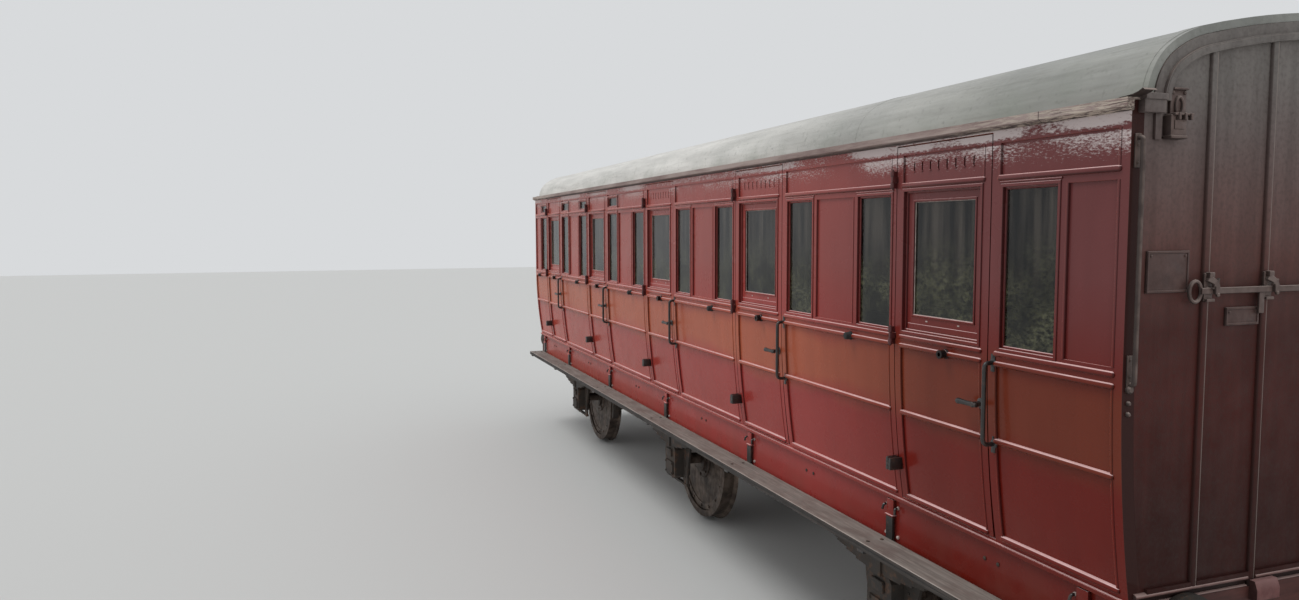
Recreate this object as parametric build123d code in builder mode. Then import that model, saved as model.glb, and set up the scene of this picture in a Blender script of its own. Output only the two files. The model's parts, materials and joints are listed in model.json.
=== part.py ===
import os
from math import asin, cos, radians, sin, sqrt

from build123d import *

os.makedirs("parts", exist_ok=True)

# A six-wheeled railway passenger coach with five compartments, in millimetres.
# X runs along the coach, +X to its near end. Side A is at -Y and side B at +Y.
# Z is 0 at the lowest point of the wheel flanges, and the rail head is one flange depth above it.

# Body shell
body_length = 10160.0
body_width = 2438.0
base_above_rail = 1190.0
turn_under_height = 918.0
turn_under_inset = 76.0
wall_thickness = 60.0
side_height = 1912.0
sill_height = 30.0
cantrail_height = 46.0
end_wall_thickness = 50.0
fit_gap = 0.3

# Roof, an arch of three radii: crown, shoulder, haunch
roof_setback = 59.0
roof_thickness = 32.0
roof_overhang = 8.0
crown_radius = 3800.0
shoulder_radius = 520.0
haunch_radius = 265.0
shoulder_angle = 34.0
gutter_projection = 35.0
gutter_drop = 40.0
gutter_fillet = 16.0
gutter_lip = 8.0

# Compartments and doors
door_pitch = 1988.0
door_width = 712.0
door_top_gap = 7.0
door_gap = 6.0

# Panelling: the framing stands proud of the panels, with rounded rails across it
stile_width = 50.0
panel_recess = 9.0
rail_width = 22.0
rail_proud = 9.0
rail_edge = 5.0
rail_seat = 1.0
panel_low = 49.0
panel_middle = 512.0
panel_waist = 870.0
window_sill_rail = 916.0
eaves_low = 1707.0
eaves_high = 1861.0
sill_rail_height = 18.0
sill_rail_proud = 14.0

# Ventilator slots in the eaves panels of some doors
slot_count = 8
slot_spread = 450.0
slot_width = 10.0
slot_low = 1776.0
slot_high = 1818.0
slot_depth = 14.0

# Windows, heights above the body's base
light_bottom = 944.0
light_top = 1665.0
quarter_width = 320.0
latch_pillar = 80.0
hinge_pillar = 48.0
droplight_width = 582.0
droplight_bottom = 950.0
droplight_top = 1675.0
droplight_recess = 22.0
sash_side = 59.0
sash_head = 54.0
sash_foot = 87.0
glass_thickness = 6.0
quarter_glass_depth = 16.0
door_glass_depth = 30.0
toplight_bottom = 1732.0
toplight_height = 102.0

# Door furniture, heights above the body's base
hinge_stand_off = 26.0
hinge_knuckle_radius = 9.0
hinge_axial_gap = 0.5
stop_height = 870.0
stop_radius = 22.0
stop_length = 42.0
stop_from_hinge = 424.0
handle_height = 671.0
handle_from_edge = 38.0
handle_stem = 46.0
handle_radius = 9.0
handle_lever = 110.0
handle_tail = 22.0
grab_top = 873.0
grab_bottom = 497.0
grab_stand_off = 50.0
grab_radius = 9.0

# Ends, heights above the body's base
end_bead_places = [-820.0, -493.0, -166.0, 166.0, 493.0, 820.0]
end_bead_width = 30.0
end_bead_proud = 11.0
end_foot_height = 47.0
end_foot_width = 34.0
end_foot_proud = 14.0
arch_board_start = 34.0
arch_board_width = 42.0
arch_board_proud = 12.0
arch_rail_width = 30.0
arch_rail_proud = 24.0
corner_block_low = 1912.0
corner_block_outer = 1190.0
corner_block_inner = 1085.0
corner_block_proud = 29.0
corner_strip_low = 1815.0
corner_strip_width = 30.0

# Ironwork on the ends
handrail_place = 1190.0
handrail_low = 884.0
handrail_high = 1818.0
handrail_stand = 27.0
handrail_radius = 9.5
handrail_cut = 16.0
handrail_plate_width = 30.0
handrail_plate_height = 128.0
handrail_plate_thickness = 7.0
stud_heights = [810.0, 768.0]
stud_radius = 8.0
stud_length = 13.0
bar_height = 1235.0
bar_half_length = 842.0
bar_stand = 25.0
bar_thickness = 10.0
bar_width = 25.0
clip_places = [493.0, 820.0]
clip_width = 46.0
clip_low = 1195.0
clip_high = 1305.0
clip_lip = 12.0
clip_lip_reach = 41.0
ring_place = 867.0
ring_half_width = 37.0
ring_half_height = 59.0
ring_bar = 14.0
hanging_bar_low = 1020.0
hanging_bar_width = 30.0
hanging_bar_thickness = 9.0
lamp_plate_inner = 966.0
lamp_plate_outer = 1045.0
lamp_plate_low = 1905.0
lamp_plate_high = 1998.0
lamp_plate_thickness = 12.0
lamp_box_shift = 22.0
lamp_box_low = 1815.0
lamp_box_reach = 37.0
lamp_ring_half_width = 22.0
lamp_ring_half_height = 38.0
lamp_ring_bar = 10.0
lamp_ring_thickness = 8.0

# Blank plates on the ends: low Y, high Y, low and high above the body's base
plate_rows = [(-1128.0, -912.0, 1231.0, 1393.0), (-703.0, -520.0, 1091.0, 1165.0)]
plate_thickness = 10.0
plate_rim = 9.0
plate_sunk = 3.0

# Inside
floor_thickness = 60.0
floor_edge_gap = 8.0
partition_thickness = 40.0
seat_depth = 480.0
cushion_overhang = 20.0
cushion_edge = 24.0
seat_board_height = 330.0
seat_board_thickness = 22.0
cushion_thickness = 110.0
back_thickness = 80.0
back_height = 620.0
soft_gap = 1.0

# Underframe
solebar_setback = 84.0
solebar_thickness = 110.0
solebar_depth = 280.0
headstock_thickness = 120.0
headstock_depth = 300.0
headstock_proud = 10.0
crossbar_width = 90.0
crossbar_depth = 120.0
longitudinal_width = 80.0
longitudinal_depth = 120.0
longitudinal_spacing = 900.0
footboard_drop = 235.0
footboard_width = 210.0
footboard_thickness = 40.0
footboard_end_inset = 100.0
step_iron_places = [4860.0, 3510.0, 1745.0, 0.0, -1745.0, -3510.0, -4860.0]
step_iron_width = 60.0
step_iron_thickness = 14.0
step_iron_stand = 24.0
step_pad_top = 10.0
step_pad_foot = 100.0
step_pad_thickness = 16.0
block_inner = 312.0
block_outer = 449.0
block_low = 57.0
block_high = 28.0
block_reach = 120.0
block_edge = 8.0

# Running gear
flange_depth = 28.0
wheel_diameter = 1092.0
wheel_base_half = 3353.0
back_to_back = 1360.0
wheel_width = 130.0
flange_width = 32.0
tyre_thickness = 60.0
rim_step = 26.0
web_at_hub = 112.0
hub_radius = 125.0
hub_width = 140.0
axle_radius = 66.0
wheel_seat_radius = 78.0
journal_radius = 50.0
journal_centres = 2070.0
journal_clearance = 0.3
axlebox_width = 240.0
axlebox_height = 290.0
axlebox_depth = 150.0
axlebox_corner = 26.0
axlebox_back = 20.0
journal_end_gap = 30.0
cover_width = 170.0
cover_height = 120.0
cover_drop = 60.0
cover_thickness = 14.0
axleguard_thickness = 18.0
guard_half = 330.0
guard_leg = 90.0
guard_top = 30.0
guard_below_box = 40.0
guard_leg_height = 120.0
spring_length = 1480.0
spring_leaves = 6
spring_leaf_thickness = 13.0
spring_width = 90.0
spring_radius = 3600.0
shortest_leaf = 225.0
buckle_width = 90.0
buckle_height = 96.0
buckle_side = 12.0
buckle_foot = 8.0
hanger_inside = 60.0
hanger_outside = 30.0
brake_gap = 8.0
brake_thickness = 60.0
brake_length = 330.0
brake_side = 12.0
brake_seat = 13.0
brake_bar_thickness = 39.0
brake_bar_width = 50.0
brake_bar_low = 60.0
beam_height = 40.0
pull_rod_radius = 14.0
pull_rod_drop = 110.0
drop_plate_thickness = 24.0
cylinder_place = 1400.0
cylinder_radius = 230.0
cylinder_height = 540.0
piston_radius = 20.0

# Buffing and drawgear
buffer_centres = 1740.0
buffer_height_above_rail = 1050.0
buffer_base_radius = 165.0
buffer_base_thickness = 28.0
buffer_housing_length = 330.0
buffer_neck_radius = 122.0
buffer_mouth_radius = 92.0
buffer_rod_radius = 44.0
buffer_head_radius = 165.0
buffer_head_back = 90.0
buffer_head_thickness = 26.0
buffer_face_radius = 99.0
buffer_face_depth = 10.0
buffer_reach = 560.0
hook_plate = 230.0
hook_plate_thickness = 20.0
hook_thickness = 44.0
hook_length = 250.0
hook_bed_start = 130.0
hook_bed_end = 190.0
hook_bed_height = 30.0
hook_slope = 20.0
hook_half_height = 45.0
hook_chin_height = 10.0
hook_horn_height = 85.0
hook_horn_width = 35.0
link_thickness = 24.0
link_width = 108.0
link_length = 304.0

# Derived places
body_base = flange_depth + base_above_rail
half_length = body_length / 2
half_width = body_width / 2
axle_height = flange_depth + wheel_diameter / 2
side_top = side_height + cantrail_height
cantrail_width = roof_setback + roof_thickness
door_top = side_height - door_top_gap
door_bottom = sill_height + door_gap
turn_under_radius = (turn_under_height**2 + turn_under_inset**2) / (2 * turn_under_inset)
opening_half = door_width / 2 + door_gap
door_axis_offset = door_width / 2 + door_gap / 2
solebar_face = half_width - solebar_setback
door_centres = [door_pitch * step for step in (2, 1, 0, -1, -2)]
axle_places = [wheel_base_half, 0.0, -wheel_base_half]

# Compartment row: does it have the small lights above its quarterlights
has_toplights = [False, False, False, True, True]

# Compartment row: does its door on side A have ventilator slots
has_slots = [True, True, True, False, False]

# Hinge rows: height of the middle above the body's base, length of the whole hinge, reach of its flaps
hinge_rows = [(226.0, 66.0, 30.0), (918.0, 95.0, 10.0), (1739.0, 90.0, 10.0)]


def inset(height):
    """How far the side stands in from its plane at this height above the base."""
    if height >= turn_under_height:
        return 0.0
    below = turn_under_height - height
    return turn_under_radius - sqrt(turn_under_radius**2 - below**2)


def side_point(height, depth):
    """A point of the side A section: depth counts inward from the outer face."""
    return (-half_width + inset(height) + depth, body_base + height)


def wall_edge(low, high, depth):
    """The lines of one face of side A between two heights, inside a BuildLine."""
    bend = min(high, turn_under_height)
    if low < bend:
        middle = (low + bend) / 2
        ThreePointArc(side_point(low, depth), side_point(middle, depth), side_point(bend, depth))
    if high > bend and high > turn_under_height:
        start = max(low, turn_under_height)
        Line(side_point(start, depth), side_point(high, depth))


def wall_piece(x_low, x_high, low, high, outer, inner):
    """A strip of side A between two stations, two heights and two depths."""
    with BuildPart() as piece:
        with BuildSketch(Plane.YZ.offset(x_low)):
            with BuildLine():
                wall_edge(low, high, outer)
                wall_edge(low, high, inner)
                Line(side_point(low, outer), side_point(low, inner))
                Line(side_point(high, outer), side_point(high, inner))
            make_face()
        extrude(amount=x_high - x_low)
    return piece.part


def block(x_low, x_high, y_low, y_high, z_low, z_high):
    """A plain rectangular block between two corners."""
    with BuildPart() as piece:
        with BuildSketch(Plane.XY.offset(z_low)):
            with Locations(((x_low + x_high) / 2, (y_low + y_high) / 2)):
                Rectangle(x_high - x_low, y_high - y_low)
        extrude(amount=z_high - z_low)
    return piece.part


def rail(x_low, x_high, height):
    """A level rail proud of the framing of side A, with its outer edges cut back."""
    with BuildPart() as strip:
        add(
            wall_piece(
                x_low, x_high, height - rail_width / 2, height + rail_width / 2, -rail_proud, panel_recess + rail_seat
            )
        )
        rows = strip.edges().filter_by(Axis.X).group_by(Axis.Z)
        chamfer([rows[0].sort_by(Axis.Y)[0], rows[-1].sort_by(Axis.Y)[0]], length=rail_edge)
    return strip.part


def panel_rails(x_low, x_high):
    """The rails between the stiles of one bay or door of side A."""
    heights = (panel_low, panel_middle, panel_waist, window_sill_rail, eaves_low)
    return [rail(x_low + stile_width, x_high - stile_width, height) for height in heights]


def panel_cuts(x_low, x_high):
    """The recesses of the lower and eaves panels of one bay or door of side A."""
    rows = ((panel_low, panel_waist), (eaves_low, eaves_high))
    return [
        wall_piece(x_low + stile_width, x_high - stile_width, low, high, -rail_proud, panel_recess)
        for low, high in rows
    ]


def opposite(shape):
    """The same piece turned half a turn about the coach's middle."""
    return shape.rotate(Axis.Z, 180)


def across(shape):
    """The same piece mirrored to the other side."""
    return mirror(shape, about=Plane.XZ)


def collect(shapes):
    """One node's pieces in one part."""
    with BuildPart() as node:
        for shape in shapes:
            add(shape)
    return node.part


def save(name, shape):
    shape.label = name
    export_step(shape, "parts/" + name + ".step")


# Roof section: the crown's half angle makes the arch span the body
roof_half = half_width - roof_setback
shoulder_sine = sin(radians(shoulder_angle))
crown_sine = (
    roof_half - haunch_radius - (shoulder_radius - haunch_radius) * shoulder_sine
) / (crown_radius - shoulder_radius)
crown_angle = asin(crown_sine)
roof_arcs = [
    (crown_radius, 0.0, crown_angle),
    (shoulder_radius, crown_angle, radians(shoulder_angle)),
    (haunch_radius, radians(shoulder_angle), radians(90.0)),
]
roof_rise = sum(radius * (cos(start) - cos(end)) for radius, start, end in roof_arcs)


def roof_edge(inset_depth):
    """The arch from side to side, moved in by this depth, inside a BuildLine."""
    y = 0.0
    z = body_base + side_top + roof_rise
    for radius, start, end in roof_arcs:
        centre = (y - radius * sin(start), z - radius * cos(start))
        reach = radius - inset_depth

        def on_arc(angle, side):
            return (side * (centre[0] + reach * sin(angle)), centre[1] + reach * cos(angle))

        for side in (-1, 1):
            ThreePointArc(on_arc(start, side), on_arc((start + end) / 2, side), on_arc(end, side))
        y = centre[0] + radius * sin(end)
        z = centre[1] + radius * cos(end)


def cross_wall(x_low, x_high, low, gap):
    """A wall across the coach that fits inside the sides, cantrails and roof."""
    reach = half_width - roof_setback - roof_thickness - gap
    with BuildPart() as piece:
        with BuildSketch(Plane.YZ.offset(x_low)):
            with BuildLine():
                roof_edge(roof_thickness + gap)
                for side in (-1, 1):
                    wall_top = side_point(side_height - gap, wall_thickness + gap)
                    Line((side * reach, body_base + side_top), (side * reach, wall_top[1]))
                    Line((side * reach, wall_top[1]), (-side * wall_top[0], wall_top[1]))
                    bend = side_point(turn_under_height, wall_thickness + gap)
                    Line((-side * wall_top[0], wall_top[1]), (-side * bend[0], bend[1]))
                    middle = side_point((low + turn_under_height) / 2, wall_thickness + gap)
                    foot = side_point(low, wall_thickness + gap)
                    ThreePointArc(
                        (-side * bend[0], bend[1]), (-side * middle[0], middle[1]), (-side * foot[0], foot[1])
                    )
                Line(side_point(low, wall_thickness + gap), (-foot[0], foot[1]))
            make_face()
        extrude(amount=x_high - x_low)
    return piece.part


# Side panels: the fixed bays between the doors, with their quarterlights cut
bay_edges = [half_length]
for centre in door_centres:
    bay_edges += [centre + opening_half, centre - opening_half]
bay_edges.append(-half_length)

# Quarterlight rows: low X, high X, has a toplight above
quarterlights = []
for centre, toplights in zip(door_centres, has_toplights):
    latch_side = centre + door_width / 2 + latch_pillar
    hinge_side = centre - door_width / 2 - hinge_pillar
    quarterlights.append((latch_side, latch_side + quarter_width, toplights))
    quarterlights.append((hinge_side - quarter_width, hinge_side, toplights))


def upper_panels(low, high, lights):
    """Low and high X of the recessed panels beside and between the windows of one bay."""
    inside = sorted((light_low, light_high) for light_low, light_high, _ in lights if low < light_low < high)
    edges = [low] + [edge for pair in inside for edge in pair] + [high]
    gaps = list(zip(edges[::2], edges[1::2]))
    return [
        (gap_low + stile_width, gap_high - stile_width) for gap_low, gap_high in gaps
        if gap_high - gap_low > 3 * stile_width
    ]


def side_bays(lights):
    """The six fixed bays of one side, as side A."""
    bays = []
    for index in range(0, len(bay_edges), 2):
        high, low = bay_edges[index], bay_edges[index + 1]
        wall = wall_piece(low, high, sill_height, side_height, 0.0, wall_thickness)
        cuts = panel_cuts(low, high) + [
            wall_piece(start, end, light_bottom, light_top, -rail_proud, panel_recess)
            for start, end in upper_panels(low, high, lights)
        ]
        rails = panel_rails(low, high)
        with BuildPart() as bay:
            add(wall)
            add(cuts, mode=Mode.SUBTRACT)
            add(rails)
            for light_low, light_high, toplight in lights:
                if low < light_low and light_high < high:
                    cuts = [(light_bottom, light_top)]
                    if toplight:
                        cuts.append((toplight_bottom, toplight_bottom + toplight_height))
                    for bottom, top in cuts:
                        with Locations(
                            (
                                (light_low + light_high) / 2,
                                -half_width + wall_thickness / 2,
                                body_base + (bottom + top) / 2,
                            )
                        ):
                            Box(light_high - light_low, 2 * wall_thickness, top - bottom, mode=Mode.SUBTRACT)
        bays.append(bay.part)
    return bays


def side_panes(lights):
    """The fixed panes of one side, as side A."""
    panes = []
    depth = -half_width + quarter_glass_depth
    for light_low, light_high, toplight in lights:
        rows = [(light_bottom, light_top)]
        if toplight:
            rows.append((toplight_bottom, toplight_bottom + toplight_height))
        for bottom, top in rows:
            panes.append(
                block(
                    light_low + fit_gap,
                    light_high - fit_gap,
                    depth,
                    depth + glass_thickness,
                    body_base + bottom + fit_gap,
                    body_base + top - fit_gap,
                )
            )
    return panes


# Side B is side A turned about the middle, with the toplights kept in their own compartments
lights_b = [
    (low, high, -(low + high) / 2 < -door_pitch / 2) for low, high, _ in quarterlights
]
bays_b = [opposite(bay) for bay in side_bays(lights_b)]
panes_b = [opposite(pane) for pane in side_panes(lights_b)]
save("side_panels", collect(side_bays(quarterlights) + bays_b))
save("side_glass", collect(side_panes(quarterlights) + panes_b))

sill_board = wall_piece(-half_length, half_length, 0.0, sill_height, 0.0, wall_thickness)
sill_rail = wall_piece(-half_length, half_length, 0.0, sill_rail_height, -sill_rail_proud, rail_seat)
with BuildPart() as sill:
    add(sill_board)
    add(sill_rail)
save("sills", collect([sill.part, opposite(sill.part)]))

cantrail = block(
    -half_length,
    half_length,
    -half_width,
    -half_width + cantrail_width,
    body_base + side_height,
    body_base + side_top,
)
save("cantrails", collect([cantrail, opposite(cantrail)]))

# End walls between the sides, standing on the headstocks
arch_rail_start = arch_board_start + arch_board_width
arch_rail_end = arch_rail_start + arch_rail_width
end_wall_half = half_width - wall_thickness - fit_gap


def under_arch(depth):
    """The outline below the arch moved in by this depth, inside a BuildLine."""
    roof_edge(depth)
    edge = roof_half - depth
    Polyline((-edge, body_base + side_top), (-edge, body_base), (edge, body_base), (edge, body_base + side_top))


plain_wall = cross_wall(half_length - end_wall_thickness, half_length, 0.0, fit_gap)
foot_edges = [-end_wall_half + turn_under_inset] + end_bead_places + [end_wall_half - turn_under_inset]
foot_rails = [
    block(
        half_length - rail_seat,
        half_length + end_foot_proud,
        low + end_bead_width / 2,
        high - end_bead_width / 2,
        body_base + end_foot_height - end_foot_width / 2,
        body_base + end_foot_height + end_foot_width / 2,
    )
    for low, high in zip(foot_edges, foot_edges[1:])
]
with BuildPart() as end_wall:
    add(plain_wall)
    with BuildSketch(Plane.YZ.offset(half_length - rail_seat)):
        with Locations(*[(y, body_base + side_height) for y in end_bead_places]):
            Rectangle(end_bead_width, 2 * (side_height - end_foot_height))
        with BuildLine():
            under_arch(arch_rail_end + fit_gap)
        make_face(mode=Mode.INTERSECT)
    extrude(amount=end_bead_proud + rail_seat)
    add(foot_rails)
save("end_walls", collect([end_wall.part, opposite(end_wall.part)]))


def arch_band(start, width, proud):
    """A band on the end that follows the roof, from this depth inward."""
    with BuildPart() as band:
        with BuildSketch(Plane.YZ.offset(half_length)):
            with BuildLine():
                roof_edge(start)
                roof_edge(start + width)
                for side in (-1, 1):
                    Line(
                        (side * (roof_half - start), body_base + side_top),
                        (side * (roof_half - start - width), body_base + side_top),
                    )
            make_face()
        extrude(amount=proud)
    return band.part


# Mouldings under the roof on the ends: a board, a rail and a block at each foot
corner_block = block(
    half_length,
    half_length + corner_block_proud,
    -corner_block_outer,
    -corner_block_inner,
    body_base + corner_block_low,
    body_base + side_top - fit_gap,
)
corner_strip = block(
    half_length,
    half_length + arch_board_proud,
    -corner_block_inner - corner_strip_width,
    -corner_block_inner,
    body_base + corner_strip_low,
    body_base + corner_block_low,
)
corner = collect([corner_block, corner_strip])
end_mouldings = [
    arch_band(arch_board_start, arch_board_width, arch_board_proud),
    arch_band(arch_rail_start, arch_rail_width, arch_rail_proud),
    corner,
    across(corner),
]
save("end_mouldings", collect(end_mouldings + [opposite(moulding) for moulding in end_mouldings]))

# Roof: boards and canvas as one shell
with BuildPart() as roof:
    with BuildSketch(Plane.YZ.offset(-half_length - roof_overhang)):
        with BuildLine():
            roof_edge(0.0)
            roof_edge(roof_thickness)
            for side in (-1, 1):
                Line(
                    (side * roof_half, body_base + side_top),
                    (side * (roof_half - roof_thickness), body_base + side_top),
                )
        make_face()
    extrude(amount=body_length + 2 * roof_overhang)
save("roof", roof.part)

# Gutters: a moulded board under the eaves with a lip that covers the cantrail
with BuildPart() as gutter:
    with BuildSketch(Plane.YZ.offset(-half_length - roof_overhang)):
        top = body_base + side_top + gutter_lip
        foot = body_base + side_top - gutter_drop
        front = -half_width - gutter_projection
        with BuildLine():
            Polyline(
                (front, foot + gutter_fillet),
                (front, top),
                (-roof_half - fit_gap, top),
                (-roof_half - fit_gap, body_base + side_top),
                (-half_width, body_base + side_top),
                (-half_width, foot),
            )
            RadiusArc((-half_width, foot), (front, foot + gutter_fillet), 2 * gutter_projection)
        make_face()
    extrude(amount=body_length + 2 * roof_overhang)
save("roof_gutters", collect([gutter.part, opposite(gutter.part)]))

# Floor
floor_half_width = half_width - turn_under_inset - wall_thickness - floor_edge_gap
floor_half_length = half_length - end_wall_thickness - fit_gap
save(
    "floor",
    block(
        -floor_half_length,
        floor_half_length,
        -floor_half_width,
        floor_half_width,
        body_base,
        body_base + floor_thickness,
    ),
)

# Partitions between the compartments
partition_places = [door_pitch * step for step in (1.5, 0.5, -0.5, -1.5)]
partition_half = partition_thickness / 2
save(
    "partitions",
    collect(
        [
            cross_wall(x - partition_half, x + partition_half, floor_thickness, fit_gap)
            for x in partition_places
        ]
    ),
)

# Seats: two benches to a compartment, each with its back to a partition or an end
seat_faces = []
for index, centre in enumerate(door_centres):
    high = half_length - end_wall_thickness if index == 0 else partition_places[index - 1] - partition_half
    low = -half_length + end_wall_thickness if index == 4 else partition_places[index] + partition_half
    seat_faces.append((high, -1))
    seat_faces.append((low, 1))
seat_half_width = floor_half_width - fit_gap


def bench_block(face, way, start, end, low, high):
    """A block of a bench: start and end are measured out from the wall behind it."""
    near, far = sorted((face + way * start, face + way * end))
    return block(
        near, far, -seat_half_width, seat_half_width, body_base + floor_thickness + low,
        body_base + floor_thickness + high,
    )


def bench_frame(face, way):
    """The seat board with its riser under the front edge."""
    board_low = seat_board_height - seat_board_thickness
    riser_start = seat_depth - 2 * seat_board_thickness
    board = bench_block(face, way, fit_gap, seat_depth, board_low, seat_board_height)
    riser = bench_block(face, way, riser_start, riser_start + seat_board_thickness, 0.0, board_low)
    return collect([board, riser])


def bench_cushion(face, way):
    low = seat_board_height + fit_gap
    cushion = bench_block(
        face, way, back_thickness + soft_gap, seat_depth + cushion_overhang, low, low + cushion_thickness
    )
    return chamfer(cushion.edges().filter_by(Axis.Y), cushion_edge)


def bench_back(face, way):
    low = seat_board_height + fit_gap
    back = bench_block(face, way, fit_gap, back_thickness, low, low + back_height)
    return chamfer(back.edges().filter_by(Axis.Y), cushion_edge)


save("seat_frames", collect([bench_frame(face, way) for face, way in seat_faces]))
save("seat_cushions", collect([bench_cushion(face, way) for face, way in seat_faces]))
save("seat_backs", collect([bench_back(face, way) for face, way in seat_faces]))


def hinge_half(x, way, height, length, reach, depth):
    """One knuckle of a hinge with its flap, which runs back to this depth of the wall of side A."""
    low = height - length / 2
    high = height + length / 2
    front = -half_width - hinge_stand_off
    with BuildPart() as half:
        with BuildSketch(Plane.XY.offset(body_base + low)):
            with Locations((x, front)):
                Circle(hinge_knuckle_radius)
        extrude(amount=length)
        with BuildSketch(Plane.YZ.offset(x)):
            with BuildLine():
                wall_edge(low, high, depth)
                Polyline(
                    side_point(low, depth), (front - hinge_knuckle_radius, body_base + low),
                    (front - hinge_knuckle_radius, body_base + high), side_point(high, depth),
                )
            make_face()
        extrude(amount=way * reach)
    return half.part


def bar_along(points, radius):
    """An eight-sided bar along straight runs."""
    with BuildPart() as bar:
        with BuildLine():
            path = Polyline(points)
        with BuildSketch(Plane(origin=path @ 0, z_dir=path % 0)):
            RegularPolygon(radius, 8)
        sweep(path=path, transition=Transition.RIGHT)
    return bar.part


def cut_corners(points, cut):
    """The same open path with each corner cut off at this distance."""
    vectors = [Vector(*point) for point in points]
    path = [vectors[0]]
    for before, corner, after in zip(vectors, vectors[1:], vectors[2:]):
        path.append(corner + (before - corner).normalized() * cut)
        path.append(corner + (after - corner).normalized() * cut)
    return path + [vectors[-1]]


def door_stop(x, back):
    """A twelve-sided stop at the waist of side A, from this Y outward."""
    with BuildPart() as stop:
        with BuildSketch(Plane.XZ.offset(half_width + stop_length)):
            with Locations((x, body_base + stop_height)):
                RegularPolygon(stop_radius, 12)
        extrude(amount=back + half_width + stop_length, dir=(0, 1, 0))
    return stop.part


def door_handle(x):
    """The stem and the turning lever of one door of side A."""
    face = -half_width + inset(handle_height)
    z = body_base + handle_height
    stem = bar_along([(x, face + rail_seat, z), (x, face - handle_stem, z)], handle_radius)
    lever_y = face - handle_stem
    lever = bar_along([(x + handle_tail, lever_y, z), (x - handle_lever, lever_y, z)], handle_radius)
    return [stem, lever]


def door_leaf(centre, slots):
    """One door of side A with its frame, handle, stop and hinge halves."""
    hinge_x = centre - door_axis_offset
    hinge_y = -half_width - hinge_stand_off
    low_x = centre - door_width / 2
    high_x = centre + door_width / 2
    sweep_radius = high_x - hinge_x
    light_middle = body_base + (droplight_bottom + droplight_top) / 2
    glass_low = droplight_bottom + sash_foot
    glass_high = droplight_top - sash_head
    board = wall_piece(low_x, high_x, door_bottom, door_top, 0.0, wall_thickness)
    cuts = panel_cuts(low_x, high_x)
    rails = panel_rails(low_x, high_x)
    furniture = door_handle(high_x - handle_from_edge)
    furniture.append(door_stop(hinge_x + stop_from_hinge, -half_width + panel_recess + rail_seat))
    for height, length, reach in hinge_rows:
        furniture.append(hinge_half(hinge_x, 1, height, length / 3 - hinge_axial_gap, reach, rail_seat))
    with BuildPart() as leaf:
        add(board)
        # the latch edge is rounded about the hinge line so that it clears its pillar
        with Locations((hinge_x, hinge_y, body_base + side_height / 2)):
            Cylinder(sweep_radius, 2 * side_height, mode=Mode.INTERSECT)
        add(cuts, mode=Mode.SUBTRACT)
        add(rails)
        with Locations((centre, -half_width, light_middle)):
            Box(
                droplight_width, 2 * droplight_recess, droplight_top - droplight_bottom, mode=Mode.SUBTRACT,
            )
        with Locations((centre, -half_width, body_base + (glass_low + glass_high) / 2)):
            Box(
                droplight_width - 2 * sash_side, 4 * wall_thickness, glass_high - glass_low, mode=Mode.SUBTRACT,
            )
        if slots:
            step = slot_spread / (slot_count - 1)
            with Locations((centre, -half_width + panel_recess, body_base + (slot_low + slot_high) / 2)):
                with Locations(*[(step * (row - (slot_count - 1) / 2), 0, 0) for row in range(slot_count)]):
                    Box(slot_width, 2 * slot_depth, slot_high - slot_low, mode=Mode.SUBTRACT)
        add(furniture)
    return leaf.part


def door_pane(centre):
    """The pane of one door of side A."""
    depth = -half_width + door_glass_depth
    half_pane = droplight_width / 2 - sash_side - fit_gap
    return block(
        centre - half_pane,
        centre + half_pane,
        depth,
        depth + glass_thickness,
        body_base + droplight_bottom + sash_foot + fit_gap,
        body_base + droplight_top - sash_head - fit_gap,
    )


for number, centre in enumerate(door_centres, start=1):
    pane = door_pane(centre)
    save(f"door_a{number}", door_leaf(centre, has_slots[number - 1]))
    save(f"door_a{number}_glass", pane)
    save(f"door_b{number}", opposite(door_leaf(centre, has_slots[-number])))
    save(f"door_b{number}_glass", opposite(pane))


def hinge_fixed_halves(centre, height, length, reach):
    """The two outer knuckles of one hinge of side A with their flaps."""
    third = length / 3
    return [
        hinge_half(centre - door_axis_offset, -1, height + end * third, third, reach, -fit_gap) for end in (-1, 1)
    ]


def grab_handle(centre):
    """The D-shaped handle on the latch pillar of one door of side A."""
    x = centre + door_width / 2 + (door_gap + latch_pillar) / 2
    front = -half_width - grab_stand_off
    top = body_base + grab_top
    bottom = body_base + grab_bottom
    foot = -half_width + inset(grab_bottom + grab_radius) - fit_gap
    points = [(x, -half_width - fit_gap, top), (x, front, top), (x, front, bottom), (x, foot, bottom)]
    return bar_along(cut_corners(points, 2 * grab_radius), grab_radius)


side_irons = []
stops = []
for centre in door_centres:
    for height, length, reach in hinge_rows:
        side_irons += hinge_fixed_halves(centre, height, length, reach)
    side_irons.append(grab_handle(centre))
    stops.append(door_stop(centre - door_axis_offset - stop_from_hinge, -half_width - rail_proud))
save("side_irons", collect(side_irons + [opposite(iron) for iron in side_irons]))
save("door_stops", collect(stops + [opposite(stop) for stop in stops]))

# Ironwork on the near end
def on_end(reach_low, reach_high, y_low, y_high, low, high):
    """A block on the near end: reach counts out from the wall and heights from the body's base."""
    return block(half_length + reach_low, half_length + reach_high, y_low, y_high, body_base + low, body_base + high)


def oval_ring(y, height, half_w, half_h, bar, reach, thickness):
    """A flat eight-sided ring on the near end."""
    with BuildPart() as ring:
        with BuildSketch(Plane.YZ.offset(half_length + reach)):
            for cut, mode in ((0.0, Mode.ADD), (bar, Mode.SUBTRACT)):
                with BuildLine():
                    Polyline(
                        [
                            (
                                y + (half_w - cut) * cos(radians(45.0 * step + 22.5)),
                                body_base + height + (half_h - cut) * sin(radians(45.0 * step + 22.5)),
                            )
                            for step in range(8)
                        ],
                        close=True,
                    )
                make_face(mode=mode)
        extrude(amount=thickness)
    return ring.part


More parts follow.
